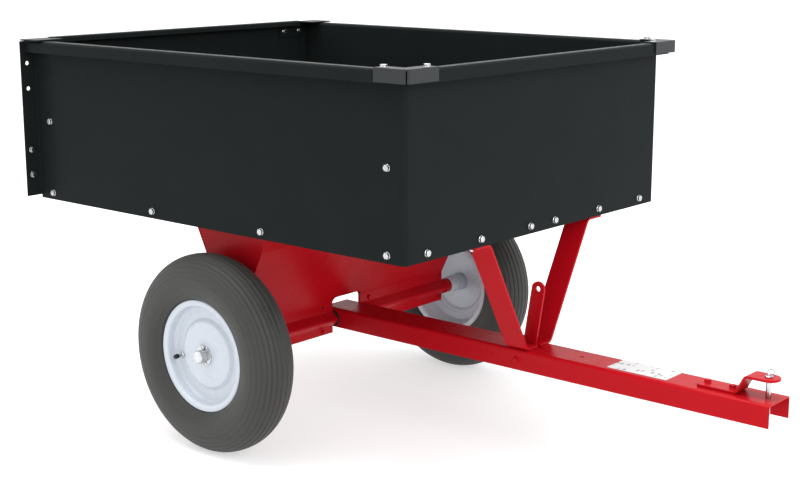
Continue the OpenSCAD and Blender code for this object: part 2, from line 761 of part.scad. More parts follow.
module tailgate_panel() {
    color(bed_black) cart() difference() {
        along_y(-tailgate_y, tailgate_y)
            strip([[tailgate_x, tailgate_z0], [tailgate_x, tailgate_z1 - sheet_t / 2]], sheet_t);
        both_sides() at_hook_bolts() drill(30);
    }
    // folded top edge between the guides
    color(bed_black) cart() along_y(-tailgate_y + hook_tab + 2, tailgate_y - hook_tab - 2)
        strip([[tailgate_x, tailgate_z1 - sheet_t / 2],
            [tailgate_x + tailgate_fold, tailgate_z1 - sheet_t / 2],
            [tailgate_x + tailgate_fold, tailgate_z1 - 12]], sheet_t);
}

// Flat hooks that lie over the rim at the tailgate's top corners
module tailgate_hooks() {
    x0 = tailgate_x + sheet_t / 2;
    color(bed_black) cart() both_sides() difference() {
        union() {
            block([x0, -tailgate_y, hook_bolt_z - 14], [x0 + hook_t, -(tailgate_y - 92), hook_bolt_z + 14]);
            block([x0, -tailgate_y, hook_bolt_z + 10],
                [x0 + hook_t, -(tailgate_y - hook_tab), bed_z1 + part_gap + hook_t]);
            block([x0, -(bed_w / 2 + rear_flange_w - 0.5), bed_z1 + part_gap],
                [x0 + hook_reach, -(tailgate_y - hook_tab), bed_z1 + part_gap + hook_t]);
        }
        at_hook_bolts() drill(30);
    }
}

module tailgate_bolts() {
    color(zinc) cart() both_sides() at_hook_bolts() bolt(hook_t + sheet_t + 5, h = 4.5);
}

module tailgate_nuts() {
    color(zinc) cart() both_sides() at_hook_bolts()
        translate([0, 0, -hook_t - sheet_t]) facing("-z") nut(h = 5);
}

// ---------------------------------------------------------------- wheels

// Places a wheel piece on the right or left end of the axle; in the piece, +Z points outward
module wheel(side) {
    cart() translate([0, side * wheel_y, axle_z]) facing(side < 0 ? "-y" : "+y") children();
}

// The tyre's outer half-section: a rounded tread above a bulging wall
function tyre_side(n = 20) = [for (i = [0 : n])
    let (a = 90 - 142 * i / n, r0 = tyre_d / 2 - tyre_w / 2, s = abs(sin(a)),
        flat = s > 0.01 ? pow(s, -0.08) : 1, full = a > 0 ? pow(max(cos(a), 0.001), -0.1) : 1)
    [r0 + tyre_w / 2 * sin(a) * flat, tyre_w / 2 * cos(a) * full]];

module tyre(side) {
    right = tyre_side();
    left = [for (p = reversed(right)) if (p != right[0]) [p[0], -p[1]]];
    color(rubber_grey) wheel(side) rotate_extrude($fn = 96) difference() {
        intersection() {
            polygon(concat(right, left));
            translate([bead_r + rim_t / 2 + part_gap, -tyre_w]) square([tyre_d, 2 * tyre_w]);
        }
        translate([tyre_d / 2 - tyre_w / 2, 0]) circle(r = tyre_w / 2 - 7);
        // gap between the beads
        translate([bead_r - 1, -rim_flange_w / 2 + 14]) square([20, rim_flange_w - 28]);
        // seats for the rim's flanges
        for (s = [-1, 1]) translate([0, s * (rim_flange_w / 2 - rim_t - 1.5 + 10)])
            square([2 * (rim_r + 1.5), 20], center = true);
    }
}

module tube(side) {
    color([0.08, 0.08, 0.08]) wheel(side)
        rotate_extrude($fn = 96) translate([tyre_d / 2 - tyre_w / 2, 0]) difference() {
            circle(r = tyre_w / 2 - 7.4);
            circle(r = tyre_w / 2 - 9.4);
        }
}

// The rim is stamped in two halves. The outer one carries the disc, which steps out to a dome
// round the hub; the inner one is welded to the disc's back.
disc_z = rim_flange_w / 2 - rim_dish;
outer_path = [[rim_r - rim_t / 2, rim_flange_w / 2 - rim_t / 2], [bead_r + 2, rim_flange_w / 2 - rim_t / 2],
    [bead_r, rim_flange_w / 2 - rim_t / 2 - 2], [bead_r - 1.5, disc_z + 6], [bead_r - 7, disc_z],
    [bead_r - 29, disc_z], [bead_r - 36, disc_z + 7], [hub_d / 2 + rim_t / 2, disc_z + 9]];
inner_path = [[rim_r - rim_t / 2, -rim_flange_w / 2 + rim_t / 2], [bead_r + 2, -rim_flange_w / 2 + rim_t / 2],
    [bead_r, -rim_flange_w / 2 + rim_t / 2 + 2], [bead_r - 1.5, -14], [bead_r - 5, disc_z - rim_t - 8],
    [bead_r - 9, disc_z - rim_t - 0.05], [bead_r - 25, disc_z - rim_t - 0.05]];

module rim_half(path) {
    difference() {
        rotate_extrude($fn = 96) strip(path, rim_t);
        translate([0, 0, -50]) cylinder(d = hub_d + 0.1, h = 100);
        rotate(valve_turn) translate([valve_r, 0, -20]) cylinder(d = 12.4, h = 40);
    }
}

module rim_outer(side) { color(wheel_white) wheel(side) rim_half(outer_path); }
module rim_inner(side) { color(wheel_white) wheel(side) rim_half(inner_path); }

module hub(side) {
    color(wheel_white) wheel(side) translate([0, 0, hub_in - wheel_y]) difference() {
        cylinder(d = hub_d, h = hub_l);
        translate([0, 0, -1]) cylinder(d = hub_bore, h = hub_l + 2);
    }
}

// Flanged plain bearings pressed into both ends of the hub
module hub_bushings(side) {
    color([0.15, 0.15, 0.15]) wheel(side) for (s = [0, 1])
        translate([0, 0, (s == 0 ? hub_in : hub_out) - wheel_y]) rotate([s * 180, 0, 0]) difference() {
            cylinder(d = hub_bore - 0.1, h = 18);
            translate([0, 0, -1]) cylinder(r = axle_d / 2 + run_gap, h = 20);
        }
}

// Valve stem that leans out of the rim's well
module valve(side) {
    color([0.1, 0.1, 0.1]) wheel(side) rotate(valve_turn) translate([valve_r, 0, 0]) {
        translate([0, 0, disc_z - 7]) cylinder(d = 12, h = 11);
        translate([0, 0, disc_z + 3.9]) cylinder(d = 8, h = 9);
    }
}

module valve_cap(side) {
    color([0.05, 0.05, 0.05]) wheel(side) rotate(valve_turn)
        translate([valve_r, 0, disc_z + 12.9]) cylinder(d = 9.5, h = 11);
}

module tyre_right() { tyre(-1); }
module tube_right() { tube(-1); }
module rim_outer_right() { rim_outer(-1); }
module rim_inner_right() { rim_inner(-1); }
module hub_right() { hub(-1); }
module hub_bushings_right() { hub_bushings(-1); }
module valve_right() { valve(-1); }
module valve_cap_right() { valve_cap(-1); }
module tyre_left() { tyre(1); }
module tube_left() { tube(1); }
module rim_outer_left() { rim_outer(1); }
module rim_inner_left() { rim_inner(1); }
module hub_left() { hub(1); }
module hub_bushings_left() { hub_bushings(1); }
module valve_left() { valve(1); }
module valve_cap_left() { valve_cap(1); }

tongue();
hitch_plate();
hitch_bolts();
hitch_nuts();
blank_label();
pivot_bushings();
latch_bolt();
latch_nut();
latch_lever();
latch_bush();
latch_spring();
hitch_pin();
pin_ring();
floor_pan();
front_panel();
side_panel_right();
side_panel_left();
corner_cap_right();
corner_cap_left();
guide_stakes();
retainer_strips();
panel_bolts();
panel_nuts();
flange_bolts();
flange_nuts();
cap_bolts();
cap_nuts();
cradle_front();
cradle_rear();
cradle_ends();
cradle_bolts();
cradle_nuts();
floor_bolts();
floor_nuts();
bed_brace();
axle();
axle_sleeves();
axle_washers();
cotter_pins();
tailgate_panel();
tailgate_hooks();
tailgate_bolts();
tailgate_nuts();
tyre_right();
tube_right();
rim_outer_right();
rim_inner_right();
hub_right();
hub_bushings_right();
valve_right();
valve_cap_right();
tyre_left();
tube_left();
rim_outer_left();
rim_inner_left();
hub_left();
hub_bushings_left();
valve_left();
valve_cap_left();
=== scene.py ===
import math

import bmesh
import bpy
from bpy.props import FloatProperty, FloatVectorProperty, IntProperty, PointerProperty
from mathutils import Matrix, Vector


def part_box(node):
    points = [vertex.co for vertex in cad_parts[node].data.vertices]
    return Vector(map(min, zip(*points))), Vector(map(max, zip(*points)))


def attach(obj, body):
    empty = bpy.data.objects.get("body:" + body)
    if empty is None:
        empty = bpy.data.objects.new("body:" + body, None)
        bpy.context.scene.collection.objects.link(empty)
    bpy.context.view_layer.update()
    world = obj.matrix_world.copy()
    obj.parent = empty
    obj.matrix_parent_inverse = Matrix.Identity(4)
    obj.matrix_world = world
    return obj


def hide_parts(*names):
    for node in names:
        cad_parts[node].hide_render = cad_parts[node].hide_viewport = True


bl_info = {
    "name": "Tow Behind Cart",
    "version": (1, 0, 0),
    "blender": (4, 5, 0),
    "location": "3D View > Sidebar > Cart",
    "description": "Builds the looks of a tow-behind dump cart around its packed frame",
    "category": "Add Mesh",
}

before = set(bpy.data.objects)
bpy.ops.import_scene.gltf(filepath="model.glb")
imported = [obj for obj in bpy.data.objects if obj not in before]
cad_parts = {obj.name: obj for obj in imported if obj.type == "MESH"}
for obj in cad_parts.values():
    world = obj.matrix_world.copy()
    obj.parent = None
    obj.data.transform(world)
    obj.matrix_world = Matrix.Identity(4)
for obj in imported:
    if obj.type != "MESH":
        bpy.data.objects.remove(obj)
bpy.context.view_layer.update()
MM = 0.001


# ------------------------------------------------------------------ places taken from the frame

def middle(node):
    """Centre of a CAD node's box."""
    lo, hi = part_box(node)
    return (lo + hi) / 2


AXLE = middle("axle")
SIDE_LO, SIDE_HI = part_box("side_panel_right")
FRONT_LO, FRONT_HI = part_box("front_panel")
TONGUE_LO, TONGUE_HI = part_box("tongue")


# ------------------------------------------------------------------ settings a user may change

class CartPaint(bpy.types.PropertyGroup):
    """Colours of the cart's finishes"""
    bed: FloatVectorProperty(name="Bed enamel", description="Colour of the bed's black enamel",
                             subtype="COLOR", size=3, default=(0.0095, 0.0117, 0.0117), min=0, max=1)
    drawbar: FloatVectorProperty(name="Frame powder coat", description="Colour of the tongue, cradle and brace",
                                 subtype="COLOR", size=3, default=(0.355, 0.0030, 0.0075), min=0, max=1)
    wheel: FloatVectorProperty(name="Wheel enamel", description="Colour of the stamped wheels",
                               subtype="COLOR", size=3, default=(0.465, 0.50, 0.55), min=0, max=1)
    caps: FloatVectorProperty(name="Corner caps", description="Colour of the moulded corner caps",
                              subtype="COLOR", size=3, default=(0.0175, 0.0200, 0.0215), min=0, max=1)
    rubber: FloatVectorProperty(name="Tyre rubber", description="Colour of the tyres",
                                subtype="COLOR", size=3, default=(0.0178, 0.0187, 0.0165), min=0, max=1)
    label: FloatVectorProperty(name="Label", description="Ground colour of the blank label",
                               subtype="COLOR", size=3, default=(0.53, 0.515, 0.515), min=0, max=1)


class CartSheet(bpy.types.PropertyGroup):
    """Sizes of the folded sheets"""
    gauge: FloatProperty(name="Bed sheet", description="Thickness of the bed's sheet steel",
                         default=1.6 * MM, unit="LENGTH", min=0.0005, max=0.004)
    rim_bend: FloatProperty(name="Rim bend", description="Radius of the bends of the bed's rim",
                            default=6 * MM, unit="LENGTH", min=0.001, max=0.01)
    corner_bend: FloatProperty(name="Corner bend", description="Radius of the bed's front corners",
                               default=9 * MM, unit="LENGTH", min=0.003, max=0.02)
    cradle_gauge: FloatProperty(name="Cradle sheet", description="Thickness of the axle cradle's sheet",
                                default=2.5 * MM, unit="LENGTH", min=0.001, max=0.005)
    tongue_wall: FloatProperty(name="Tongue wall", description="Wall thickness of the tongue channel",
                               default=3 * MM, unit="LENGTH", min=0.002, max=0.005)
    edge: FloatProperty(name="Edge rounding", description="Rounding of the cut edges",
                        default=0.35 * MM, unit="LENGTH", min=0.0001, max=0.001)


class CartTyre(bpy.types.PropertyGroup):
    """Shape of the tyres"""
    grooves: IntProperty(name="Grooves a side", description="Grooves on each half of the tread",
                         default=7, min=2, max=9)
    groove_depth: FloatProperty(name="Groove depth", description="Depth of the tread grooves",
                                default=2.2 * MM, unit="LENGTH", min=0.0005, max=0.006)
    groove_step: FloatProperty(name="Groove spacing", description="Angle between grooves round the section",
                               default=math.radians(12.2), subtype="ANGLE", min=0.1, max=0.6)
    segments: IntProperty(name="Segments", description="Segments round the wheel", default=144, min=48, max=256)


class CartFasteners(bpy.types.PropertyGroup):
    """Sizes of the bolts and nuts"""
    across_flats: FloatProperty(name="Across flats", description="Width of the hexagons",
                                default=11.4 * MM, unit="LENGTH", min=0.006, max=0.02)
    flange: FloatProperty(name="Flange", description="Radius of the flange under a head",
                          default=6.9 * MM, unit="LENGTH", min=0.004, max=0.012)
    seed: IntProperty(name="Turn seed", description="Seed of the heads' random turn", default=7, min=0, max=999)


class CartStudio(bpy.types.PropertyGroup):
    """Light of the studio"""
    key: FloatProperty(name="Key light", description="Power of the large front light",
                       default=90, min=0, max=2000)
    fill: FloatProperty(name="Fill light", description="Power of the overhead light",
                        default=190, min=0, max=2000)
    sky: FloatProperty(name="Room light", description="Strength of the even light from all round",
                       default=1.25, min=0, max=4)
    floor_glow: FloatProperty(name="Floor glow", description="Light that the pale floor gives off by itself",
                              default=0.50, min=0, max=2)


# ------------------------------------------------------------------ shapes

def rounded(points, radius, steps=6):
    """A 2-D line with its corners rounded to a radius."""
    line = [Vector(p) for p in points]
    out = [line[0]]
    for i in range(1, len(line) - 1):
        a, b, c = line[i - 1], line[i], line[i + 1]
        u, v = (a - b).normalized(), (c - b).normalized()
        half = u.angle(v) / 2
        if half > math.radians(89):
            continue
        cut = min(radius / math.tan(half), (a - b).length * 0.48, (c - b).length * 0.48)
        r = cut * math.tan(half)
        centre = b + (u + v).normalized() * (r / math.sin(half))
        start, end = b + u * cut - centre, b + v * cut - centre
        turn = start.angle_signed(end)
        for k in range(steps + 1):
            t = -turn * k / steps
            out.append(centre + Vector((start.x * math.cos(t) - start.y * math.sin(t),
                                        start.x * math.sin(t) + start.y * math.cos(t))))
    out.append(line[-1])
    return out


def sheet_section(points, thickness, radius, steps=6):
    """Closed outline of a bent sheet whose middle line runs through the points."""
    path = rounded(points, radius, steps)
    sides = [[], []]
    for i, p in enumerate(path):
        before = (path[i] - path[i - 1]).normalized() if i else None
        after = (path[i + 1] - path[i]).normalized() if i + 1 < len(path) else None
        before, after = before or after, after or before
        n1, n2 = Vector((-before.y, before.x)), Vector((-after.y, after.x))
        normal = (n1 + n2) / (1 + n1.dot(n2))
        sides[0].append(p + normal * thickness / 2)
        sides[1].append(p - normal * thickness / 2)
    return sides[0] + sides[1][::-1]


AXES = {"x": lambda a, b, w: (w, a, b), "y": lambda a, b, w: (a, w, b), "z": lambda a, b, w: (a, b, w)}


def prism(bm, outline, along, start, end):
    """Extrudes a closed outline along one axis and closes both ends."""
    place = AXES[along]
    rings = [[bm.verts.new(place(p[0], p[1], w)) for p in outline] for w in (start, end)]
    made = [bm.faces.new(rings[0]), bm.faces.new(rings[1])]
    n = len(outline)
    for i in range(n):
        j = (i + 1) % n
        made.append(bm.faces.new((rings[0][i], rings[0][j], rings[1][j], rings[1][i])))
    bmesh.ops.recalc_face_normals(bm, faces=made)
    return made


def rod(bm, points, radius, sides=12, closed=False):
    """A round wire along 3-D points."""
    points = [Vector(p) for p in points]
    n = len(points)
    rings, side = [], None
    for i, p in enumerate(points):
        a = points[i - 1] if (i or closed) else p
        b = points[(i + 1) % n] if (i + 1 < n or closed) else p
        ahead = (b - a).normalized()
        if side is None:
            side = ahead.orthogonal().normalized()
        side = (side - ahead * side.dot(ahead)).normalized()
        other = ahead.cross(side)
        rings.append([bm.verts.new(p + radius * (side * math.cos(math.tau * k / sides)
                                                 + other * math.sin(math.tau * k / sides)))
                      for k in range(sides)])
    made = []
    for i in range(n if closed else n - 1):
        r0, r1 = rings[i], rings[(i + 1) % n]
        for k in range(sides):
            m = (k + 1) % sides
            made.append(bm.faces.new((r0[k], r0[m], r1[m], r1[k])))
    if not closed:
        made += [bm.faces.new(rings[0]), bm.faces.new(rings[-1])]
    bmesh.ops.recalc_face_normals(bm, faces=made)
    return made


def plug(centre, radius, depth, along, sides=32):
    """A cutter: a round bar through a centre."""
    bm = bmesh.new()
    c = Vector(centre)
    turns = [math.tau * k / sides for k in range(sides)]
    ring = [(radius * math.cos(a), radius * math.sin(a)) for a in turns]
    at = {"x": (c.y, c.z, c.x), "y": (c.x, c.z, c.y), "z": (c.x, c.y, c.z)}[along]
    prism(bm, [(at[0] + a, at[1] + b) for a, b in ring], along, at[2] - depth / 2, at[2] + depth / 2)
    return bm


def as_object(name, bm):
    """A new object from a shape."""
    mesh = bpy.data.meshes.new(name)
    bm.to_mesh(mesh)
    bm.free()
    obj = bpy.data.objects.new(name, mesh)
    bpy.context.scene.collection.objects.link(obj)
    return obj


def settle(obj):
    """Replaces an object's mesh by what its modifiers make of it, and removes them."""
    bpy.context.view_layer.update()
    graph = bpy.context.evaluated_depsgraph_get()
    mesh = bpy.data.meshes.new_from_object(obj.evaluated_get(graph), preserve_all_data_layers=True,
                                           depsgraph=graph)
    obj.modifiers.clear()
    old = obj.data
    obj.data = mesh
    mesh.name = obj.name
    if old.users == 0:
        bpy.data.meshes.remove(old)


def edit(obj, *steps):
    """Opens an object's mesh, runs the steps on it and writes it back."""
    bm = bmesh.new()
    bm.from_mesh(obj.data)
    for step in steps:
        step(bm)
    bm.to_mesh(obj.data)
    bm.free()
    return obj


def merge(distance):
    """A step for edit(): joins vertices that lie together."""
    return lambda bm: bmesh.ops.remove_doubles(bm, verts=bm.verts, dist=distance)


def flatten(degrees):
    """A step for edit(): joins faces that lie in one plane."""
    return lambda bm: bmesh.ops.dissolve_limit(bm, angle_limit=math.radians(degrees), verts=bm.verts,
                                               edges=bm.edges)


def face_outwards(bm):
    """A step for edit(): turns every face outwards."""
    bmesh.ops.recalc_face_normals(bm, faces=bm.faces)


def clean(obj):
    """Merges doubles and joins flat faces after a boolean."""
    return edit(obj, merge(3e-6), flatten(0.4), face_outwards)


def combine(obj, operation, cutters):
    """Runs an exact boolean of an object with each shape in turn."""
    tools = [as_object("cutter", bm) for bm in cutters]
    for tool in tools:
        modifier = obj.modifiers.new("boolean", "BOOLEAN")
        modifier.solver = "EXACT"
        modifier.operation = operation
        modifier.object = tool
    settle(obj)
    for tool in tools:
        bpy.data.objects.remove(tool)
    return obj


def cut(obj, *cutters):
    """Cuts shapes out of an object."""
    return combine(obj, "DIFFERENCE", cutters)


def keep_inside(obj, cutter):
    """Keeps only what lies inside a shape."""
    return combine(obj, "INTERSECT", [cutter])


def join_solids(obj, *others):
    """Joins solids to an object so that no wall is left inside."""
    for bm in others:
        combine(obj, "UNION", [bm])
    return clean(obj)


def finish_piece(obj, finish, body, nodes=(), edge=None, smooth=35, segments=2, slot=None):
    """Rounds a piece's edges, shades it, gives it its finish and lets it ride on its body."""
    if edge:
        bevel = obj.modifiers.new("edges", "BEVEL")
        bevel.width = edge
        bevel.segments = segments
        bevel.limit_method = "ANGLE"
        bevel.angle_limit = math.radians(40)
        bevel.use_clamp_overlap = True
        weighted = obj.modifiers.new("flats", "WEIGHTED_NORMAL")
        weighted.weight = 100
        weighted.keep_sharp = True
    for polygon in obj.data.polygons:
        polygon.use_smooth = True
    obj.data.set_sharp_from_angle(angle=math.radians(smooth if not edge else 75))
    if edge:
        settle(obj)
    obj.data.materials.clear()
    obj.data.materials.append(finishes()[finish])
    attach(obj, body)
    if nodes:
        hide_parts(*nodes)
    return obj


def form(node, bm, finish, body, **look):
    """Makes a shape the finished piece that stands in for a CAD node."""
    return finish_piece(as_object(node + "_formed", bm), finish, body, [node], **look)


def softened(node, finish, body, edge=0.5 * MM, segments=2):
    """A copy of a CAD node with its flat faces joined up and its edges rounded."""
    bm = bmesh.new()
    bm.from_mesh(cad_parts[node].data)
    merge(2e-6)(bm)
    flatten(0.8)(bm)
    return form(node, bm, finish, body, edge=edge, segments=segments)


def kept(node, finish):
    """Gives a CAD node that stays as it is its finish."""
    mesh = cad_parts[node].data
    mesh.materials.clear()
    mesh.materials.append(finishes()[finish])


def mirrored(bm):
    """Turns a shape over to the cart's other side."""
    bmesh.ops.scale(bm, vec=(1, -1, 1), verts=bm.verts)
    bmesh.ops.reverse_faces(bm, faces=bm.faces)
    return bm


def islands(node):
    """Boxes of the separate solids in a CAD node."""
    bm = bmesh.new()
    bm.from_mesh(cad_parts[node].data)
    merge(2e-6)(bm)
    left, boxes = set(bm.verts), []
    while left:
        todo = [left.pop()]
        found = list(todo)
        while todo:
            for e in todo.pop().link_edges:
                for v in e.verts:
                    if v in left:
                        left.discard(v)
                        todo.append(v)
                        found.append(v)
        boxes.append((Vector([min(v.co[i] for v in found) for i in range(3)]),
                      Vector([max(v.co[i] for v in found) for i in range(3)])))
    bm.free()
    return sorted(boxes, key=lambda b: tuple(round(x, 5) for x in b[0]))


def middle_pair(node):
    """Places along Y of a node's pieces on the right and on the left."""
    ys = [((a + b) / 2).y for a, b in islands(node)]
    right = [y for y in ys if y < 0]
    return (sum(right) / len(right), -sum(right) / len(right))


# ------------------------------------------------------------------ finishes

def fill(tree, node, inputs):
    """Sets a node's inputs, or links those that are given a socket."""
    for key, value in inputs.items():
        if isinstance(value, bpy.types.NodeSocket):
            tree.links.new(value, node.inputs[key])
        else:
            node.inputs[key].default_value = value


def add_node(tree, kind, inputs=None, **options):
    """Adds a node with its options and inputs."""
    made = tree.nodes.new(kind)
    for key, value in options.items():
        setattr(made, key, value)
    fill(tree, made, inputs or {})
    return made


def tint(colour, by):
    """A colour made darker or lighter."""
    return tuple(min(1, max(0, c * by)) for c in colour)


class Finish:
    """A procedural material on object coordinates."""

    def __init__(self, name):
        self.material = bpy.data.materials.new(name)
        self.material.use_nodes = True
        self.tree = self.material.node_tree
        self.tree.nodes.clear()
        self.shader = add_node(self.tree, "ShaderNodeBsdfPrincipled")
        add_node(self.tree, "ShaderNodeOutputMaterial", {"Surface": self.shader.outputs["BSDF"]})
        self.place = add_node(self.tree, "ShaderNodeTexCoord").outputs["Object"]

    def set(self, inputs):
        """Sets the shader's own sockets, or links them."""
        fill(self.tree, self.shader, inputs)

    def mapped(self, place, **how):
        """Coordinates that are moved or stretched."""
        inputs = {"Vector": place}
        inputs.update({key.title(): value for key, value in how.items()})
        return add_node(self.tree, "ShaderNodeMapping", inputs).outputs["Vector"]

    def noise(self, scale, detail=3, roughness=0.55, stretch=None):
        """A noise, stretched along the axes if asked."""
        place = self.mapped(self.place, scale=stretch) if stretch else self.place
        inputs = {"Scale": scale, "Detail": detail, "Roughness": roughness, "Vector": place}
        return add_node(self.tree, "ShaderNodeTexNoise", inputs).outputs["Fac"]

    def spread(self, value, low, high, start=0.3, end=0.7):
        """Maps a noise onto a range of values."""
        inputs = {"From Min": start, "From Max": end, "To Min": low, "To Max": high, "Value": value}
        return add_node(self.tree, "ShaderNodeMapRange", inputs).outputs["Result"]

    def blend(self, factor, first, second):
        """A colour between two, by a varying factor."""
        return add_node(self.tree, "ShaderNodeMix", {"A": (*first, 1), "B": (*second, 1), "Factor": factor},
                        data_type="RGBA").outputs["Result"]

    def cloudy(self, value, colour, dark, light):
        """A colour that a noise makes darker here and lighter there."""
        return self.blend(self.spread(value, 0, 1), tint(colour, dark), tint(colour, light))

    def bumps(self, *layers):
        """Stacks bumps of (height socket, strength, depth in metres)."""
        inputs = {}
        for height, strength, depth in layers:
            inputs.update({"Strength": strength, "Distance": depth, "Height": height})
            inputs["Normal"] = add_node(self.tree, "ShaderNodeBump", inputs).outputs["Normal"]
        self.set({"Normal": inputs["Normal"]})


def enamel(name, colour, roughness, spec, peel=0.25, cloud=0.05):
    """Sprayed or powder-coated paint: orange peel, faint cloudiness and fine rub marks."""
    paint = Finish(name)
    paint.set({"Base Color": paint.cloudy(paint.noise(9, 4), colour, 1 - cloud, 1 + cloud),
               "Roughness": paint.spread(paint.noise(40, 5, 0.6), roughness * 0.86, roughness * 1.18),
               "Specular IOR Level": spec})
    paint.bumps((paint.noise(22, 2, 0.4), cloud, 0.0005), (paint.noise(620, 2, 0.5), peel, 0.00006))
    return paint.material


def plated(name, colour, roughness, scale=240):
    """Zinc-plated or turned steel with crystal cloudiness and fine scratches."""
    metal = Finish(name)
    cloud = metal.noise(scale, 4, 0.6)
    metal.set({"Base Color": metal.cloudy(cloud, colour, 0.8, 1.08),
               "Roughness": metal.spread(cloud, roughness * 1.3, roughness * 0.75), "Metallic": 1})
    metal.bumps((metal.noise(scale * 3, 3, 0.7, (1, 0.25, 1)), 0.25, 0.00006))
    return metal.material


def moulded(name, colour, roughness, grain=900, depth=0.00012):
    """Moulded plastic with a fine spark-eroded grain."""
    plastic = Finish(name)
    cloud = plastic.noise(30, 3)
    plastic.set({"Base Color": plastic.cloudy(cloud, colour, 0.9, 1.1),
                 "Roughness": plastic.spread(cloud, roughness * 0.9, roughness * 1.1),
                 "Specular IOR Level": 0.24})
    plastic.bumps((plastic.noise(grain, 2, 0.6), 0.35, depth))
    return plastic.material


def tyre_rubber(name, colour):
    """Tyre rubber: dull bloom in patches, fine mould texture and faint dust."""
    rubber = Finish(name)
    bloom = rubber.noise(14, 5, 0.6)
    rubber.set({"Base Color": rubber.cloudy(bloom, colour, 0.82, 1.22),
                "Roughness": rubber.spread(bloom, 0.52, 0.68), "Specular IOR Level": 0.45,
                "Sheen Weight": 0.06, "Sheen Roughness": 0.5})
    rubber.bumps((rubber.noise(90, 3, 0.5), 0.15, 0.0004), (rubber.noise(1500, 2, 0.7), 0.35, 0.00012))
    return rubber.material


def blank_vinyl(name, colour):
    """Vinyl label with plain grey marks and no wording."""
    vinyl = Finish(name)
    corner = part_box("blank_label")[0]
    place = vinyl.mapped(vinyl.mapped(vinyl.place, location=(-corner.x, -corner.y, 0)), scale=(0.9, 0.55, 0))
    marks = add_node(vinyl.tree, "ShaderNodeTexVoronoi", {"Scale": 105, "Randomness": 0.55, "Vector": place},
                     feature="F1", distance="CHEBYCHEV").outputs["Distance"]
    size = vinyl.spread(marks, 1, 0, 0.22, 0.30)
    patch = vinyl.spread(vinyl.noise(38, 1), 0, 1, 0.46, 0.50)
    marked = add_node(vinyl.tree, "ShaderNodeMath", {0: size, 1: patch}, operation="MULTIPLY").outputs["Value"]
    vinyl.set({"Base Color": vinyl.blend(marked, colour, (0.16, 0.17, 0.18)), "Roughness": 0.34})
    vinyl.bumps((vinyl.noise(500, 2), 0.1, 0.00004))
    return vinyl.material


FINISHES = {}


def finishes():
    """All finishes, made once."""
    if not FINISHES:
        paint = bpy.context.scene.cart_paint
        FINISHES.update(
            bed=enamel("bed_black_enamel", paint.bed, 0.30, 0.022, peel=0.12, cloud=0.05),
            red=enamel("frame_red_powder_coat", paint.drawbar, 0.30, 0.075, peel=0.3, cloud=0.04),
            wheel=enamel("wheel_pale_enamel", paint.wheel, 0.28, 0.36, peel=0.08, cloud=0.02),
            zinc=plated("bright_zinc", (0.50, 0.51, 0.52), 0.22),
            steel=plated("turned_steel", (0.56, 0.57, 0.58), 0.3, 120),
            spring=plated("spring_wire", (0.28, 0.29, 0.31), 0.34, 400),
            caps=moulded("corner_cap_plastic", paint.caps, 0.42),
            nylon=moulded("black_nylon", (0.02, 0.02, 0.02), 0.4),
            gloss=moulded("valve_cap_plastic", (0.012, 0.012, 0.012), 0.28, 600, 0.00006),
            tyre=tyre_rubber("tyre_rubber", paint.rubber),
            tube=tyre_rubber("butyl_rubber", (0.02, 0.02, 0.02)),
            label=blank_vinyl("blank_vinyl", tuple(paint.label)),
        )
    return FINISHES


# ------------------------------------------------------------------ geometry nodes: fasteners and spring

def new_group(name, sizes, seeded=False):
    """A geometry node group with named sizes; gives the group and its inputs."""
    tree = bpy.data.node_groups.new(name, "GeometryNodeTree")

    def socket(key, kind, way="INPUT"):
        return tree.interface.new_socket(name=key, in_out=way, socket_type="NodeSocket" + kind)

    socket("Places", "Geometry")
    for key, default in sizes.items():
        socket(key, "Float").default_value = default
    if seeded:
        socket("Seed", "Int").default_value = 0
    socket("Finish", "Material")
    socket("Geometry", "Geometry", "OUTPUT")
    return tree, add_node(tree, "NodeGroupInput").outputs


def set_out(tree, given, shape, rotation):
    """Ends a group: the shape on every place, made real, in the finish that is given."""
    placed = add_node(tree, "GeometryNodeInstanceOnPoints", {"Points": given["Places"], "Instance": shape,
                                                             "Rotation": rotation})
    real = add_node(tree, "GeometryNodeRealizeInstances", {"Geometry": placed.outputs["Instances"]})
    dressed = add_node(tree, "GeometryNodeSetMaterial", {"Geometry": real.outputs["Geometry"],
                                                         "Material": given["Finish"]})
    add_node(tree, "NodeGroupOutput", {"Geometry": dressed.outputs["Geometry"]})


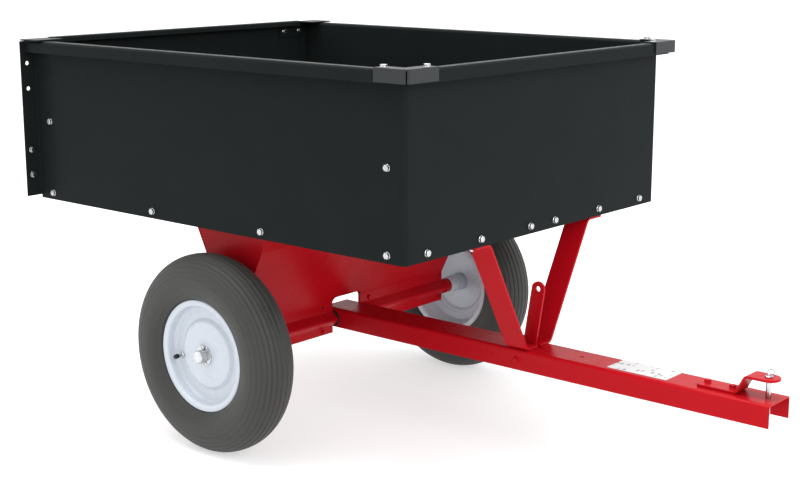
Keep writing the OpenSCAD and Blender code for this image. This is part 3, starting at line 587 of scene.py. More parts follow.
def hexagon_tree(with_shank):
    """Bolts, or nuts, set on points that carry their direction in the attribute "aim"."""
    tree, given = new_group("flanged_bolts" if with_shank else "flanged_nuts",
                            {"Across Flats": 0.013, "Height": 0.0055, "Flange Radius": 0.0076,
                             "Shank Radius": 0.004, "Shank Length": 0.012}, seeded=True)

    def times(value, factor):
        return add_node(tree, "ShaderNodeMath", {0: value, 1: factor}, operation="MULTIPLY").outputs[0]

    def frustum(sides, bottom, top, depth, lift):
        cone = add_node(tree, "GeometryNodeMeshCone",
                        {"Vertices": sides, "Radius Bottom": bottom, "Radius Top": top, "Depth": depth})
        place = add_node(tree, "ShaderNodeCombineXYZ", {"Z": lift})
        lifted = add_node(tree, "GeometryNodeTransform",
                          {"Geometry": cone.outputs["Mesh"], "Translation": place.outputs["Vector"]})
        return lifted.outputs["Geometry"]

    height, flange = given["Height"], given["Flange Radius"]
    shank, length = given["Shank Radius"], given["Shank Length"]
    corner = times(given["Across Flats"], 0.5 / math.cos(math.pi / 6))
    parts = [
        frustum(40, flange, times(flange, 0.985), times(height, 0.10), 0),
        frustum(40, times(flange, 0.985), times(flange, 0.84), times(height, 0.16), times(height, 0.10)),
        frustum(6, corner, corner, times(height, 0.66), times(height, 0.2)),
        frustum(6, corner, times(corner, 0.90), times(height, 0.09), times(height, 0.86)),
    ]
    if with_shank:
        parts += [
            frustum(40, times(corner, 0.80), times(corner, 0.74), times(height, 0.06), times(height, 0.94)),
            frustum(24, shank, shank, times(length, 0.93), times(length, -0.93)),
            frustum(24, times(shank, 0.8), shank, times(length, 0.07), times(length, -1)),
        ]
    join = add_node(tree, "GeometryNodeJoinGeometry")
    for part in parts:
        fill(tree, join, {"Geometry": part})
    aim = add_node(tree, "GeometryNodeInputNamedAttribute", {"Name": "aim"}, data_type="FLOAT_VECTOR")
    aimed = add_node(tree, "FunctionNodeAlignRotationToVector", {"Vector": aim.outputs["Attribute"]}, axis="Z")
    chance = add_node(tree, "FunctionNodeRandomValue", {"Min": 0, "Max": math.pi / 3, "Seed": given["Seed"]},
                      data_type="FLOAT")
    twist = add_node(tree, "FunctionNodeAxisAngleToRotation",
                     {"Axis": (0, 0, 1), "Angle": chance.outputs["Value"]})
    both = add_node(tree, "FunctionNodeRotateRotation", {"Rotation": aimed.outputs["Rotation"],
                                                         "Rotate By": twist.outputs["Rotation"]},
                    rotation_space="LOCAL")
    set_out(tree, given, join.outputs["Geometry"], both.outputs["Rotation"])
    return tree


def coil_tree():
    """A coil spring along Y: a spiral with a round wire swept along it."""
    tree, given = new_group("coil_spring",
                            {"Coil Radius": 0.0076, "Wire Radius": 0.001, "Length": 0.01, "Turns": 5})
    spiral = add_node(tree, "GeometryNodeCurveSpiral",
                      {"Resolution": 28, "Rotations": given["Turns"], "Start Radius": given["Coil Radius"],
                       "End Radius": given["Coil Radius"], "Height": given["Length"]})
    wire = add_node(tree, "GeometryNodeCurvePrimitiveCircle",
                    {"Resolution": 10, "Radius": given["Wire Radius"]})
    sweep = add_node(tree, "GeometryNodeCurveToMesh",
                     {"Curve": spiral.outputs["Curve"], "Profile Curve": wire.outputs["Curve"],
                      "Fill Caps": True})
    set_out(tree, given, sweep.outputs["Mesh"], (-math.pi / 2, 0, 0))
    return tree


TREES = {}


def grow(node, tree_name, make_tree, places, values, body, finish, smooth=32):
    """Runs a node tree on points and keeps the result as a plain mesh on its body."""
    if tree_name not in TREES:
        TREES[tree_name] = make_tree()
    tree = TREES[tree_name]
    mesh = bpy.data.meshes.new(node + "_formed")
    mesh.from_pydata([place for place, _ in places], [], [])
    aims = mesh.attributes.new("aim", "FLOAT_VECTOR", "POINT")
    for i, (_, way) in enumerate(places):
        aims.data[i].vector = way
    obj = bpy.data.objects.new(node + "_formed", mesh)
    bpy.context.scene.collection.objects.link(obj)
    modifier = obj.modifiers.new("nodes", "NODES")
    modifier.node_group = tree
    sockets = {item.name: item.identifier for item in tree.interface.items_tree if item.in_out == "INPUT"}
    for key, value in values.items():
        modifier[sockets[key]] = value
    modifier[sockets["Finish"]] = finishes()[finish]
    settle(obj)
    edit(obj, face_outwards)
    if "aim" in obj.data.attributes:
        obj.data.attributes.remove(obj.data.attributes["aim"])
    return finish_piece(obj, finish, body, [node], smooth=smooth)


def hexagons(node, body, way, head=None, across=None, flange=None, shank=4 * MM, painted=False):
    """Flanged bolts with heads of a height, or nuts where none is given, on a CAD node's solids.
    Each faces the way that way(centre) gives, along one axis."""
    sizes = bpy.context.scene.cart_fasteners
    places = []
    for lo, hi in islands(node):
        seat = (lo + hi) / 2
        aim = Vector(way(seat))
        i = max(range(3), key=lambda k: abs(aim[k]))
        height = head or hi[i] - lo[i]
        length = hi[i] - lo[i] - height
        seat[i] = hi[i] - height if aim[i] > 0 else lo[i] + height
        places.append((seat, aim))
    bolts = head is not None
    grow(node, "bolts" if bolts else "nuts", lambda: hexagon_tree(bolts), places,
         {"Across Flats": across or sizes.across_flats, "Height": height,
          "Flange Radius": flange or sizes.flange,
          "Shank Radius": shank, "Shank Length": length, "Seed": sizes.seed + (0 if bolts else 3)},
         body, "red" if painted else "zinc")


# ------------------------------------------------------------------ base of the operators

class CartPiece:
    """What all the cart's operators share"""
    bl_options = {"REGISTER", "UNDO"}

    def execute(self, context):
        """Builds the piece in the open scene"""
        self.make(context.scene)
        return {"FINISHED"}


REAR = SIDE_LO.x + 1.6 * MM          # rear face of the bed's walls
FRONT = SIDE_HI.x                    # front face of the bed
WALL_Y = FRONT_HI.y - 0.8 * MM       # middle of a side wall
BOTTOM, TOP = SIDE_LO.z, SIDE_HI.z   # lower edge of the panels and top of the rim
LIP_Z = TOP - 24.8 * MM              # lower edge of the rim's lip


def both_sides(make):
    """Calls a maker for the right side and the left side."""
    make(-1, "right")
    make(1, "left")


def section(points, thickness, radius, along, start, end, steps=6):
    """A bent sheet extruded along an axis."""
    bm = bmesh.new()
    prism(bm, sheet_section(points, thickness, radius, steps), along, start, end)
    return bm


def solid(outline, along, start, end):
    """An outline extruded along an axis, as a shape or a cutter."""
    bm = bmesh.new()
    prism(bm, outline, along, start, end)
    return bm


def turned(bm, outline, centre, along="y", segments=48):
    """Turns a closed outline of (radius, place along the axis) points about an axis."""
    c = Vector(centre)
    u, v, w = {"x": ((0, 1, 0), (0, 0, 1), (1, 0, 0)), "y": ((0, 0, 1), (1, 0, 0), (0, 1, 0)),
               "z": ((1, 0, 0), (0, 1, 0), (0, 0, 1))}[along]
    u, v, w = Vector(u), Vector(v), Vector(w)
    rings = []
    for k in range(segments):
        a = math.tau * k / segments
        way = u * math.cos(a) + v * math.sin(a)
        rings.append([bm.verts.new(c + way * r + w * h) for r, h in outline])
    n = len(outline)
    for k in range(segments):
        r0, r1 = rings[k], rings[(k + 1) % segments]
        for i in range(n):
            j = (i + 1) % n
            if outline[i][0] < 1e-7 and outline[j][0] < 1e-7:
                continue
            bm.faces.new((r0[i], r0[j], r1[j], r1[i]))
    bmesh.ops.remove_doubles(bm, verts=[vert for ring in rings for vert in ring], dist=1e-7)
    bmesh.ops.recalc_face_normals(bm, faces=bm.faces)
    return bm


def soft_outline(points, radius, steps=3):
    """A closed outline with every corner rounded."""
    pts = [Vector(p) for p in points]
    n = len(pts)
    out = []
    for i in range(n):
        a, b, c = pts[i - 1], pts[i], pts[(i + 1) % n]
        out += rounded([a, b, c], radius, steps)[1:-1]
    return out


# ------------------------------------------------------------------ the bed

class CART_OT_side_panels(CartPiece, bpy.types.Operator):
    """Side panels: wall, rounded rim and lip, and the flange at the rear"""
    bl_idname = "cart.side_panels"
    bl_label = "Side panels"

    def make(self, scene):
        sheet = scene.cart_sheet
        t = sheet.gauge
        rim = WALL_Y + 25 * MM
        top = TOP - t / 2
        flange_out = -SIDE_LO.y
        hole_y, hole_z = middle_pair("flange_bolts")[1], TOP - 75.5 * MM

        def one(side, name):
            def flip(bm):
                return mirrored(bm) if side < 0 else bm

            wall = section([(WALL_Y, BOTTOM), (WALL_Y, TOP - 14 * MM)], t, 0, "x", REAR, FRONT - 11 * MM)
            edge = section([(WALL_Y, TOP - 14 * MM), (WALL_Y, top), (rim, top), (rim, LIP_Z)], t,
                           sheet.rim_bend, "x", REAR, FRONT)
            flange = section([(REAR + 12 * MM, WALL_Y), (REAR - t / 2, WALL_Y), (REAR - t / 2, flange_out)], t,
                             2.4 * MM, "z", BOTTOM + 7 * MM, TOP - 1.2 * MM)
            obj = as_object("side_panel_" + name + "_formed", flip(wall))
            join_solids(obj, flip(edge), flip(flange))
            cut(obj, *[plug((REAR - t / 2, side * hole_y, hole_z + k * 27 * MM), 4.5 * MM, 20 * MM, "x")
                       for k in (-1, 1)])
            finish_piece(clean(obj), "bed", "bed", ["side_panel_" + name], sheet.edge)
        both_sides(one)


class CART_OT_front_panel(CartPiece, bpy.types.Operator):
    """Front panel with rounded corners, corner flanges, rim and lip"""
    bl_idname = "cart.front_panel"
    bl_label = "Front panel"

    def make(self, scene):
        sheet = scene.cart_sheet
        t = sheet.gauge
        x, rim, top = FRONT - t / 2, FRONT - t / 2 + 25 * MM, TOP - t / 2
        y = WALL_Y - t
        back = FRONT - 62 * MM
        out = y + t - 0.2 * MM
        bend = sheet.corner_bend
        arc = [(x - bend + bend * math.cos(a), out - bend + bend * math.sin(a))
               for a in [math.radians(90 - 10 * k) for k in range(10)]]

        def wrapped(start):
            side = [(start, y), (x - 15 * MM, y), (x - 11.5 * MM, out)] + arc
            return sheet_section(side + [(px, -py) for px, py in side[::-1]], t, 0.4 * MM, 1)

        wall = solid(wrapped(back), "z", BOTTOM + 30 * MM, TOP - 14 * MM)
        skirt = solid(wrapped(x - 20 * MM), "z", BOTTOM, BOTTOM + 30 * MM)
        edge = section([(x, TOP - 14 * MM), (x, top), (rim, top), (rim, LIP_Z)], t, sheet.rim_bend, "y",
                       -y - t, y + t)
        obj = as_object("front_panel_formed", wall)
        join_solids(obj, skirt, edge)
        finish_piece(obj, "bed", "bed", ["front_panel"], sheet.edge)


class CART_OT_floor_pan(CartPiece, bpy.types.Operator):
    """Floor pan with its turned-up edges"""
    bl_idname = "cart.floor_pan"
    bl_label = "Floor pan"

    def make(self, scene):
        sheet = scene.cart_sheet
        t = sheet.gauge
        lo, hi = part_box("floor_pan")
        e, z, up = hi.y - t / 2, BOTTOM + t / 2, hi.z
        pan = section([(-e, up), (-e, z), (e, z), (e, up)], t, 3 * MM, "x", lo.x, hi.x - 12 * MM)
        nose = section([(hi.x - 12 * MM, z), (hi.x - t / 2, z), (hi.x - t / 2, up)], t, 3 * MM, "y",
                       -e + 10 * MM, e - 10 * MM)
        obj = as_object("floor_pan_formed", pan)
        join_solids(obj, nose)
        finish_piece(obj, "bed", "bed", ["floor_pan"], sheet.edge)


class CART_OT_tailgate(CartPiece, bpy.types.Operator):
    """Tailgate with its folded top edge, and its two hooks"""
    bl_idname = "cart.tailgate"
    bl_label = "Tailgate and hooks"

    def make(self, scene):
        sheet = scene.cart_sheet
        t = sheet.gauge
        lo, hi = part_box("tailgate_panel")
        x = lo.x + t / 2
        fold = hi.x - t / 2
        upper = hi.z - 2 * MM
        shape = soft_outline([(lo.y, lo.z), (hi.y, lo.z), (hi.y, upper), (lo.y, upper)], 5 * MM)
        plate = solid(shape, "x", lo.x, lo.x + t)
        top = section([(x, hi.z - 20 * MM), (x, hi.z - t / 2), (fold, hi.z - t / 2), (fold, hi.z - 12 * MM)], t,
                      3 * MM, "y", lo.y + 32 * MM, hi.y - 32 * MM)
        obj = as_object("tailgate_panel_formed", plate)
        join_solids(obj, top)
        finish_piece(obj, "bed", "tailgate", ["tailgate_panel"], sheet.edge)
        softened("tailgate_hooks", "bed", "tailgate", 0.6 * MM)


class CART_OT_corner_caps(CartPiece, bpy.types.Operator):
    """Moulded caps on the front corners"""
    bl_idname = "cart.corner_caps"
    bl_label = "Corner caps"

    def make(self, scene):
        for side in ("right", "left"):
            softened("corner_cap_" + side, "caps", "bed", 1.3 * MM, 4)


class CART_OT_rear_guides(CartPiece, bpy.types.Operator):
    """Guide stakes inside the rear corners and strips behind the rear flanges"""
    bl_idname = "cart.rear_guides"
    bl_label = "Rear guides"

    def make(self, scene):
        t = scene.cart_sheet.gauge
        lo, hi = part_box("guide_stakes")
        y, inner = hi.y - t / 2, hi.y - 22 * MM

        def stake():
            return section([(lo.x + t / 2, inner), (lo.x + t / 2, y), (hi.x, y)], t, 2.6 * MM, "z", lo.z, hi.z)

        obj = join_solids(as_object("guide_stakes_formed", stake()), mirrored(stake()))
        finish_piece(obj, "bed", "bed", ["guide_stakes"], scene.cart_sheet.edge)
        softened("retainer_strips", "bed", "bed", 0.5 * MM)


# ------------------------------------------------------------------ cradle, brace and drawbar

class CART_OT_cradle(CartPiece, bpy.types.Operator):
    """The two folded halves of the axle cradle and their end plates"""
    bl_idname = "cart.cradle"
    bl_label = "Axle cradle"

    def make(self, scene):
        t = scene.cart_sheet.cradle_gauge
        lo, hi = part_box("cradle_front")
        crest = 18.28 * MM - t / 2
        foot = [(0, -32 * MM), (0, -crest), (crest, 0), (0, crest), (0, 37 * MM)]
        top = hi.z - t / 2 - AXLE.z
        for way, name in ((1, "cradle_front"), (-1, "cradle_rear")):
            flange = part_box(name)[1].x - AXLE.x if way > 0 else AXLE.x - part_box(name)[0].x
            reach = flange - 30 * MM - t / 2
            wall = [(reach - 8 * MM, 207.2 * MM), (reach, 233.2 * MM)] if way > 0 else []
            path = foot + wall + [(reach, top), (reach + 30 * MM, top)]
            points = [(AXLE.x + way * (t / 2 + px), AXLE.z + pz) for px, pz in path]
            half = section(points, t, 4.5 * MM, "y", lo.y, hi.y, 5)
            obj = as_object(name + "_formed", half)
            # the notch for the tongue, from the foot up to its rounded top corners
            notch = [(-44, -45), (-44, 39)] + [(-36 - 8 * math.cos(a), 39 + 8 * math.sin(a))
                                               for a in (0.3, 0.6, 0.9, 1.2, 1.5708)]
            notch += [(-px, pz) for px, pz in notch[::-1]]
            ends = sorted((AXLE.x - way * 1 * MM, AXLE.x + way * (reach + 3 * MM)))
            cut(obj, solid([(px * MM, AXLE.z + pz * MM) for px, pz in notch], "x", *ends))
            finish_piece(clean(obj), "red", "bed", [name], 0.4 * MM, smooth=40)
        softened("cradle_ends", "red", "bed", 0.5 * MM)


class CART_OT_bed_brace(CartPiece, bpy.types.Operator):
    """The bent flat bar between the tongue and the bed's front"""
    bl_idname = "cart.bed_brace"
    bl_label = "Bed brace"

    def make(self, scene):
        lo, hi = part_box("bed_brace")
        t = 5 * MM
        z1, z0 = hi.z - t / 2, lo.z + t / 2
        right = [(-211 * MM, z1), (-165 * MM, z1), (-39 * MM, z0)]
        points = right + [(-y, z) for y, z in right[::-1]]
        obj = as_object("bed_brace_formed", section(points, t, 14 * MM, "x", lo.x, hi.x, 8))
        cut(obj, solid([(hi.x - 45.1 * MM, -4.5 * MM), (hi.x + 1, -4.5 * MM), (hi.x + 1, 4.5 * MM),
                       (hi.x - 45.1 * MM, 4.5 * MM)], "z", lo.z - 5 * MM, lo.z + 20 * MM))
        finish_piece(clean(obj), "red", "bed", ["bed_brace"], 0.8 * MM, smooth=40)


class CART_OT_tongue(CartPiece, bpy.types.Operator):
    """Tongue channel with its slots and holes"""
    bl_idname = "cart.tongue"
    bl_label = "Tongue"

    def make(self, scene):
        t = scene.cart_sheet.tongue_wall
        lo, hi = TONGUE_LO, TONGUE_HI
        e, z = hi.y - t / 2, hi.z - t / 2
        obj = as_object("tongue_formed", section([(-e, lo.z), (-e, z), (e, z), (e, lo.z)], t, 5 * MM, "x",
                                                 lo.x, hi.x, 6))
        latch = middle("latch_bolt")
        pin = middle("hitch_pin")
        hold = [solid(soft_outline([(latch.x - 24 * MM, -4 * MM), (latch.x + 40.5 * MM, -4 * MM),
                                    (latch.x + 40.5 * MM, 4 * MM), (latch.x - 24 * MM, 4 * MM)], 2 * MM), "z",
                      z - 6 * MM, z + 6 * MM),
                plug((AXLE.x, 0, AXLE.z), 15.5 * MM, 0.3, "y", 40),
                plug((hi.x - 413 * MM, 0, z), 3.5 * MM, 0.02, "z", 28),
                plug((pin.x, 0, z), 5.05 * MM, 0.02, "z", 28)]
        cut(obj, *hold)
        finish_piece(clean(obj), "red", "drawbar", ["tongue"], 0.5 * MM, smooth=40)


class CART_OT_hitch_plate(CartPiece, bpy.types.Operator):
    """Cranked hitch plate with its rounded end"""
    bl_idname = "cart.hitch_plate"
    bl_label = "Hitch plate"

    def make(self, scene):
        lo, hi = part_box("hitch_plate")
        t = 5 * MM
        tip = TONGUE_HI.x
        low, high = lo.z + t / 2, hi.z - t / 2
        rise = tip - 76 * MM
        obj = as_object("hitch_plate_formed", section([(lo.x, low), (rise, low), (rise + 18 * MM, high),
                                                       (tip + 10 * MM, high)], t, 8 * MM, "y", lo.y, hi.y, 7))
        pin = tip - 22 * MM
        half, r = hi.y, 20.9 * MM
        shape = [(lo.x - 0.01, -half), (pin - 14 * MM, -half), (pin - 4 * MM, -r)]
        turns = [math.radians(d) for d in range(-90, 91, 9)]
        shape += [(pin + r * math.cos(a), r * math.sin(a)) for a in turns]
        shape += [(pin - 4 * MM, r), (pin - 14 * MM, half), (lo.x - 0.01, half)]
        keep_inside(obj, solid(shape, "z", lo.z - 0.01, hi.z + 0.01))
        rear = soft_outline([(lo.x, -half), (tip + 0.05, -half), (tip + 0.05, half), (lo.x, half)],
                            6 * MM, 5)
        keep_inside(obj, solid(rear, "z", lo.z - 0.01, hi.z + 0.01))
        cut(obj, plug((pin, 0, high), 5.05 * MM, 0.03, "z", 32))
        finish_piece(clean(obj), "red", "drawbar", ["hitch_plate"], 0.7 * MM, smooth=40)


class CART_OT_label(CartPiece, bpy.types.Operator):
    """Blank vinyl label on the tongue"""
    bl_idname = "cart.label"
    bl_label = "Blank label"

    def make(self, scene):
        lo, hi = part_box("blank_label")
        shape = soft_outline([(lo.x, lo.y), (hi.x, lo.y), (hi.x, hi.y), (lo.x, hi.y)], 3 * MM, 5)
        form("blank_label", solid(shape, "z", lo.z, hi.z), "label", "drawbar")


class CART_OT_latch_lever(CartPiece, bpy.types.Operator):
    """Foot lever of the latch"""
    bl_idname = "cart.latch_lever"
    bl_label = "Latch lever"

    def make(self, scene):
        softened("latch_lever", "red", "latch", 0.8 * MM, 3)


class CART_OT_latch_spring(CartPiece, bpy.types.Operator):
    """Return spring of the latch, coiled round the bush"""
    bl_idname = "cart.latch_spring"
    bl_label = "Latch spring"

    def make(self, scene):
        wire, r = 0.95 * MM, 7.55 * MM
        y0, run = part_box("latch_spring")[0].y + wire, 9 * MM
        bush = middle("latch_bush")
        grow("latch_spring", "coil", coil_tree, [((bush.x, y0, bush.z), (0, 1, 0))],
             {"Coil Radius": r, "Wire Radius": wire, "Length": run, "Turns": 5.0}, "latch", "spring", 60)
        for name, x, y, z0, z1 in (("latch_spring_upper_leg", bush.x - r, y0, bush.z, bush.z + 11 * MM),
                                   ("latch_spring_lower_leg", bush.x + r, y0 + run, bush.z - 11 * MM, bush.z)):
            bm = bmesh.new()
            steps = [z0 + (z1 - z0) * k / 6 for k in range(7)]
            rod(bm, [(x + 0.3 * MM * math.sin(k), y, z) for k, z in enumerate(steps)], wire, 12)
            finish_piece(as_object(name, bm), "spring", "latch", smooth=60)


class CART_OT_hitch_pin(CartPiece, bpy.types.Operator):
    """Hitch pin with its collar, neck and pull ring"""
    bl_idname = "cart.hitch_pin"
    bl_label = "Hitch pin and ring"

    def make(self, scene):
        lo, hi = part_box("hitch_pin")
        c = middle("hitch_pin")
        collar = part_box("hitch_plate")[1].z + 0.3 * MM - lo.z
        h = hi.z - lo.z
        shape = [(0, 0), (2.4 * MM, 0), (3.4 * MM, 0.4 * MM), (4.7 * MM, 2.4 * MM),
                 (5 * MM, 3.4 * MM), (5 * MM, collar)]
        shape += [(6.9 * MM, collar), (7.5 * MM, collar + 0.5 * MM), (7.5 * MM, collar + 1.5 * MM),
                  (6.9 * MM, collar + 2 * MM), (3.6 * MM, collar + 2 * MM), (3 * MM, collar + 2.6 * MM),
                  (3 * MM, h - 1.2 * MM), (2 * MM, h - 0.25 * MM), (0, h)]
        bm = turned(bmesh.new(), shape, (c.x, c.y, lo.z), "z", 40)
        obj = as_object("hitch_pin_formed", bm)
        eye = collar + 4.2 * MM + lo.z
        cut(obj, plug((c.x, 0, eye), 1.5 * MM, 0.03, "x", 20))
        finish_piece(clean(obj), "zinc", "pin", ["hitch_pin"], smooth=32)
        bm = bmesh.new()
        lean = math.radians(55)
        r = 6.2 * MM
        middle_y, middle_z = math.sin(lean) * (r - 0.3 * MM), math.cos(lean) * (r - 0.3 * MM)
        points = []
        for k in range(48):
            a = math.tau * k / 48
            u = Vector((math.cos(a) * r, 0, math.sin(a) * r))
            u.rotate(Matrix.Rotation(-lean, 3, "X"))
            points.append(Vector((c.x, middle_y, eye + middle_z)) + u)
        rod(bm, points, 1.1 * MM, 12, closed=True)
        form("pin_ring", bm, "spring", "pin", slot="zinc", smooth=60)


# ------------------------------------------------------------------ axle and wheels

class CART_OT_axle(CartPiece, bpy.types.Operator):
    """Axle, its sleeves and washers, and the split pins at its ends"""
    bl_idname = "cart.axle"
    bl_label = "Axle"

    def make(self, scene):
        lo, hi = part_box("axle")
        r, end = (hi.z - lo.z) / 2, hi.y
        centre = (AXLE.x, 0, AXLE.z)
        chamfer = 1.5 * MM
        shape = [(0, -end), (r - chamfer, -end), (r, -end + chamfer),
                 (r, end - chamfer), (r - chamfer, end), (0, end)]
        obj = as_object("axle_formed", turned(bmesh.new(), shape, centre, "y", 64))
        cotter = middle_pair("cotter_pins")
        cut(obj, *[plug((AXLE.x, y, AXLE.z), 2.2 * MM, 0.08, "z", 20) for y in cotter])
        finish_piece(clean(obj), "steel", "bed", ["axle"], 0.2 * MM, smooth=32)
        for node, finish, soft in (("axle_sleeves", "red", 0.8 * MM), ("axle_washers", "zinc", 0.5 * MM)):
            bm = bmesh.new()
            for a, b in islands(node):
                outer = (b.z - a.z) / 2
                bore = r + 0.1 * MM
                ring = soft_outline([(bore, a.y), (outer, a.y), (outer, b.y), (bore, b.y)], soft, 3)
                turned(bm, ring, centre, "y", 64)
            form(node, bm, finish, "bed", smooth=40)
        bm = bmesh.new()
        for y in cotter:
            leg, gap = 1.0 * MM, 1.05 * MM
            head, foot = AXLE.z + r + 4 * MM, AXLE.z - r
            loop = []
            for k in range(13):
                a = math.radians(-70 + 320 * k / 12)
                loop.append((AXLE.x + 3.5 * MM * math.cos(a), y, head + 3.2 * MM + 3.6 * MM * math.sin(a)))
            right = [(AXLE.x + gap, y, foot + (head - foot) * k / 5) for k in range(6)]
            left = [(AXLE.x - gap, y, head - (head - foot) * k / 5) for k in range(6)]
            tip_r = [(AXLE.x + 7.2 * MM, y, foot - 4.6 * MM), (AXLE.x + 4.4 * MM, y, foot - 4.1 * MM),
                     (AXLE.x + 2.1 * MM, y, foot - 2.2 * MM)]
            tip_l = [(AXLE.x - 2.1 * MM, y, foot - 2.4 * MM), (AXLE.x - 4.0 * MM, y, foot - 4.3 * MM),
                     (AXLE.x - 6.0 * MM, y, foot - 4.9 * MM)]
            rod(bm, tip_r + right + loop + left + tip_l, leg, 10)
        form("cotter_pins", bm, "zinc", "bed", smooth=60)


class CART_OT_tyres(CartPiece, bpy.types.Operator):
    """Tyres with rounded shoulders and grooves round the tread"""
    bl_idname = "cart.tyres"
    bl_label = "Tyres"

    def make(self, scene):
        tyre = scene.cart_tyre
        lo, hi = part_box("tyre_right")
        big, half = (hi.z - lo.z) / 2, (hi.y - lo.y) / 2
        tube_r = half
        r0 = big - tube_r
        bead = 104.4 * MM
        outer = []
        steps = 150
        for i in range(steps + 1):
            a = math.radians(90 - 142 * i / steps)
            s, c = math.sin(a), math.cos(a)
            r = r0 + tube_r * s * (abs(s) ** -0.08 if abs(s) > 0.01 else 1)
            y = tube_r * c * (max(c, 0.001) ** -0.1 if a > 0 else 1)
            outer.append([r, y, math.radians(90) - a])
        # grooves are set by their angle round the section
        for p in outer:
            turn = p[2]
            depth = 0.0
            for k in range(tyre.grooves):
                place = tyre.groove_step * (k + 0.5)
                away = abs(turn - place) / math.radians(1.7)
                if away < 1.6:
                    flank = max(0, 1 - max(0, away - 0.45) / 0.75)
                    depth = max(depth, tyre.groove_depth * (1 - 0.11 * k) * flank)
            # raised line where the tread meets the wall, and one by the rim
            for place, height in ((tyre.groove_step * (tyre.grooves + 0.45), 0.7 * MM),
                                  (math.radians(118), 0.9 * MM)):
                away = abs(turn - place) / math.radians(1.6)
                if away < 1:
                    depth -= height * (0.5 + 0.5 * math.cos(away * math.pi))
            cx, cy = p[0] - r0, p[1]
            size = math.hypot(cx, cy)
            p[0], p[1] = r0 + cx * (size - depth) / size, cy * (size - depth) / size
        limit_r, limit_y = big - 0.05 * MM, half - 0.02 * MM
        side = [(min(p[0], limit_r), min(p[1], limit_y)) for p in outer]
        side = [p for p in side if not (p[0] < 121 * MM and p[1] < 33 * MM)]
        side = [p for p in side if p[0] > 116.4 * MM]
        inner_r = tube_r - 7 * MM
        bead_path = [(116.2 * MM, side[-1][1] - 2.2 * MM), (114.6 * MM, 32.4 * MM), (107 * MM, 32 * MM),
                     (bead, 30 * MM), (bead, 23 * MM), (108 * MM, 21.2 * MM)]
        hollow = []
        for k in range(13):
            a = math.radians(-46 + 136 * k / 12)
            hollow.append((r0 + inner_r * math.sin(a), inner_r * math.cos(a)))
        half_line = side + bead_path + hollow
        line = half_line[:-1] + [(r, -y) for r, y in half_line[:0:-1]]

        def one(side, name):
            c = middle("tyre_" + name)
            bm = turned(bmesh.new(), line, c, "y", tyre.segments)
            form("tyre_" + name, bm, "tyre", "wheel_" + name, smooth=60)
            kept("tube_" + name, "tube")
        both_sides(one)


class CART_OT_wheel_rims(CartPiece, bpy.types.Operator):
    """Stamped wheel halves with rounded bends, hub tube and weld bead"""
    bl_idname = "cart.wheel_rims"
    bl_label = "Wheel rims"

    def make(self, scene):
        t = 2 * MM

        def one(side, name):
            c = middle("tyre_" + name)
            body = "wheel_" + name
            rim, bead, hub_r = 114.5 * MM, 102 * MM, 20 * MM
            half = 35 * MM
            disc = 11 * MM
            outer = [(rim - t / 2, half - 3.6 * MM), (rim - t / 2 - 0.6 * MM, half - t / 2),
                     (bead + 2 * MM, half - t / 2), (bead, half - 5 * MM),
                     (bead - 1.5 * MM, disc + 6 * MM), (bead - 7 * MM, disc), (bead - 29 * MM, disc),
                     (bead - 36 * MM, disc + 7 * MM), (hub_r + t / 2, disc + 9 * MM)]
            inner = [(rim - t / 2, -half + 3.6 * MM), (rim - t / 2 - 0.6 * MM, -half + t / 2),
                     (bead + 2 * MM, -half + t / 2), (bead, -half + 5 * MM),
                     (bead - 1.5 * MM, -14 * MM), (bead - 5 * MM, disc - t - 8 * MM),
                     (bead - 9 * MM, disc - t - 0.05 * MM), (bead - 25 * MM, disc - t - 0.05 * MM)]
            valve = middle("valve_" + name)
            for kind, path in (("rim_outer_", outer), ("rim_inner_", inner)):
                line = sheet_section(path, t, 4 * MM, 5)
                shape = [(p[0], side * p[1]) for p in line]
                stamped = turned(bmesh.new(), shape, c, "y", scene.cart_tyre.segments)
                obj = as_object(kind + name + "_formed", stamped)
                cut(obj, plug((valve.x, c.y, valve.z), 6.2 * MM, 0.09, "y", 28))
                finish_piece(edit(obj, merge(2e-6)), "wheel", body, [kind + name], smooth=38)
            a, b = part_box("hub_" + name)
            bore = 15.5 * MM
            shape = soft_outline([(bore, a.y - c.y), (hub_r, a.y - c.y), (hub_r, b.y - c.y), (bore, b.y - c.y)],
                                 0.9 * MM, 3)
            bm = turned(bmesh.new(), shape, c, "y", 64)
            # weld bead between the hub and the disc
            face = side * (disc + 9 * MM)
            bead_line = [(hub_r - 0.4 * MM, face - side * 0.6 * MM), (hub_r + 3.4 * MM, face + side * 0.6 * MM),
                         (hub_r + 2.6 * MM, face + side * 2.0 * MM), (hub_r + 1.2 * MM, face + side * 3.1 * MM),
                         (hub_r - 0.4 * MM, face + side * 4.2 * MM)]
            form("hub_" + name, bm, "wheel", body, smooth=38)
            weld = turned(bmesh.new(), bead_line, c, "y", 96)
            for v in weld.verts:
                away = Vector((v.co.x - c.x, 0, v.co.z - c.z))
                turn = math.atan2(away.z, away.x)
                v.co += away.normalized() * 0.25 * MM * math.sin(turn * 34)
            finish_piece(as_object("hub_weld_" + name, weld), "wheel", body, smooth=70)
            kept("hub_bushings_" + name, "nylon")
        both_sides(one)


